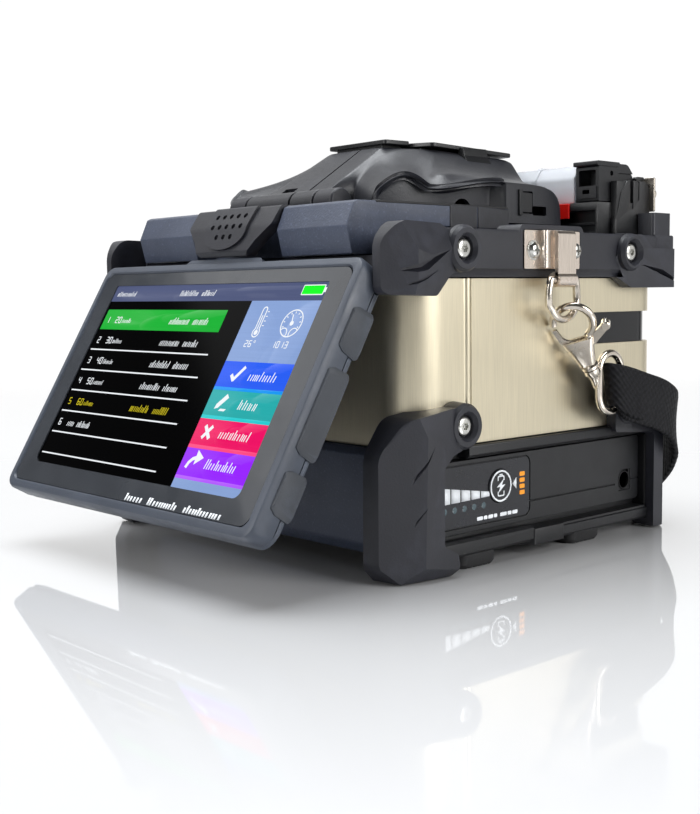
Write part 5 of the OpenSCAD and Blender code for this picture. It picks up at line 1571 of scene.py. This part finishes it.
def ramped(tree, value, stops):
    """Colour ramp on a value; stops are (position, grey or colour)."""
    ramp = tree.nodes.new("ShaderNodeValToRGB")
    tree.links.new(value, ramp.inputs[0])
    elements = ramp.color_ramp.elements
    while len(elements) < len(stops):
        elements.new(0.5)
    for element, (at, level) in zip(elements, stops):
        element.position = at
        element.color = (*(level if isinstance(level, tuple) else (level,) * 3), 1)
    return ramp.outputs[0]


def along_view(tree, source, span):
    """0..1 along the view direction, over a span of distances (or of directions)."""
    dot = tree.nodes.new("ShaderNodeVectorMath")
    dot.operation = "DOT_PRODUCT"
    tree.links.new(source, dot.inputs[0])
    dot.inputs[1].default_value = VIEW
    scale = tree.nodes.new("ShaderNodeMapRange")
    tree.links.new(dot.outputs["Value"], scale.inputs[0])
    scale.inputs[1].default_value, scale.inputs[2].default_value = span
    return scale.outputs[0]


def build_floor():
    """Pale glossy table: mirrors the machine beyond it, and turns matt towards the camera."""
    bm = bmesh.new()
    rows, size = 24, 2600
    grid = [[bm.verts.new(((i / rows - 0.5) * 2 * size, (j / rows - 0.5) * 2 * size,
                           0)) for i in range(rows + 1)] for j in range(rows + 1)]
    for j in range(rows):
        for i in range(rows):
            bm.faces.new((grid[j][i], grid[j][i + 1], grid[j + 1][i + 1], grid[j + 1][i]))
    mesh = bpy.data.meshes.new("floor")
    bm.to_mesh(mesh)
    bm.free()
    mesh.transform(Matrix.Scale(MM, 4))
    mat = bpy.data.materials.new("pale_floor")
    mat.use_nodes = True
    tree = mat.node_tree
    tree.nodes.remove(tree.nodes["Principled BSDF"])
    out = tree.nodes["Material Output"]
    matt = tree.nodes.new("ShaderNodeBsdfDiffuse")
    matt.inputs["Color"].default_value = (0.57, 0.57, 0.575, 1)
    mirror = tree.nodes.new("ShaderNodeBsdfGlossy")
    mirror.inputs["Color"].default_value = (1, 1, 1, 1)
    mirror.inputs["Roughness"].default_value = 0.03
    mix = tree.nodes.new("ShaderNodeMixShader")
    where = tree.nodes.new("ShaderNodeTexCoord")
    t = along_view(tree, where.outputs["Object"], (-0.25, 0.75))
    tree.links.new(ramped(tree, t, [(0.02, 0.0), (0.13, 0.3), (0.24, 0.55), (0.6, 0.7), (1.0, 1.0)]),
                   mix.inputs[0])
    tree.links.new(matt.outputs[0], mix.inputs[1])
    tree.links.new(mirror.outputs[0], mix.inputs[2])
    tree.links.new(mix.outputs[0], out.inputs[0])
    mesh.materials.append(mat)
    floor = bpy.data.objects.new("floor", mesh)
    bpy.context.scene.collection.objects.link(floor)


def build_world():
    """White behind the machine as the camera sees it, grey room elsewhere."""
    world = bpy.data.worlds.new("studio")
    bpy.context.scene.world = world
    world.use_nodes = True
    tree = world.node_tree
    back = tree.nodes["Background"]
    where = tree.nodes.new("ShaderNodeTexCoord")
    parts = tree.nodes.new("ShaderNodeSeparateXYZ")
    tree.links.new(where.outputs["Generated"], parts.inputs[0])
    behind = ramped(tree, along_view(tree, where.outputs["Generated"], (-1, 1)),
                    [(0.0, 0.12), (0.45, 0.12), (0.78, 0.16), (0.88, 1.0)])
    height = ramped(tree, parts.outputs[2], [(0.35, 1.0), (0.6, 0.3)])
    mix = tree.nodes.new("ShaderNodeMix")
    mix.data_type, mix.blend_type = "RGBA", "MULTIPLY"
    mix.inputs["Factor"].default_value = 1.0
    colours = [s for s in mix.inputs if s.type == "RGBA"]
    tree.links.new(behind, colours[0])
    tree.links.new(height, colours[1])
    tree.links.new([s for s in mix.outputs if s.type == "RGBA"][0], back.inputs["Color"])
    back.inputs["Strength"].default_value = 1.02


def softbox(name, power, size, spot, target, colour=(1, 1, 1), turn=None):
    data = bpy.data.lights.new(name, "AREA")
    data.energy, data.shape, data.color = power, "RECTANGLE", colour
    data.size, data.size_y = size
    lamp = bpy.data.objects.new(name, data)
    bpy.context.scene.collection.objects.link(lamp)
    lamp.location = spot
    lamp.rotation_euler = turn or (Vector(target) - Vector(spot)).to_track_quat("-Z", "Y").to_euler()


def build_stage():
    build_floor()
    build_world()
    softbox("side_softbox", 8.5, (0.6, 0.6), (1.0, 0.2, 0.45), (0, 0, 0.06))
    softbox("top_softbox", 20, (1.1, 0.9), (-0.2, 0.0, 1.2), (0, 0, 0.1), (0.94, 0.97, 1.0))
    softbox("front_softbox", 5.5, (0.4, 0.8), (-0.05, -1.0, 0.28), (0, 0, 0.06))
    softbox("right_card", 1.6, (1.2, 0.8), (0.85, 0.8, 0.2), (0, 0, 0.06))
    # pale card whose straight edge is seen slanting across the monitor's glass
    along, across = Vector((0.417, -0.767, -0.489)), Vector((-0.753, 0.007, -0.658))
    turn = Matrix((across, along, across.cross(along))).transposed().to_euler()
    softbox("glare_card", 3.4, (0.6, 1.4), (-0.474, -0.393, 0.673), None, turn=turn)
    bpy.context.scene.view_settings.view_transform = "Standard"


def main():
    build_camera()
    build_strap()
    build_stage()
    build_shell()
    build_base()
    build_battery()
    build_bumpers()
    build_frame()
    build_deck()
    build_release_tab()
    build_monitor()
    build_cover()
    build_splicer()
    build_heater()
    build_hardware()


main()
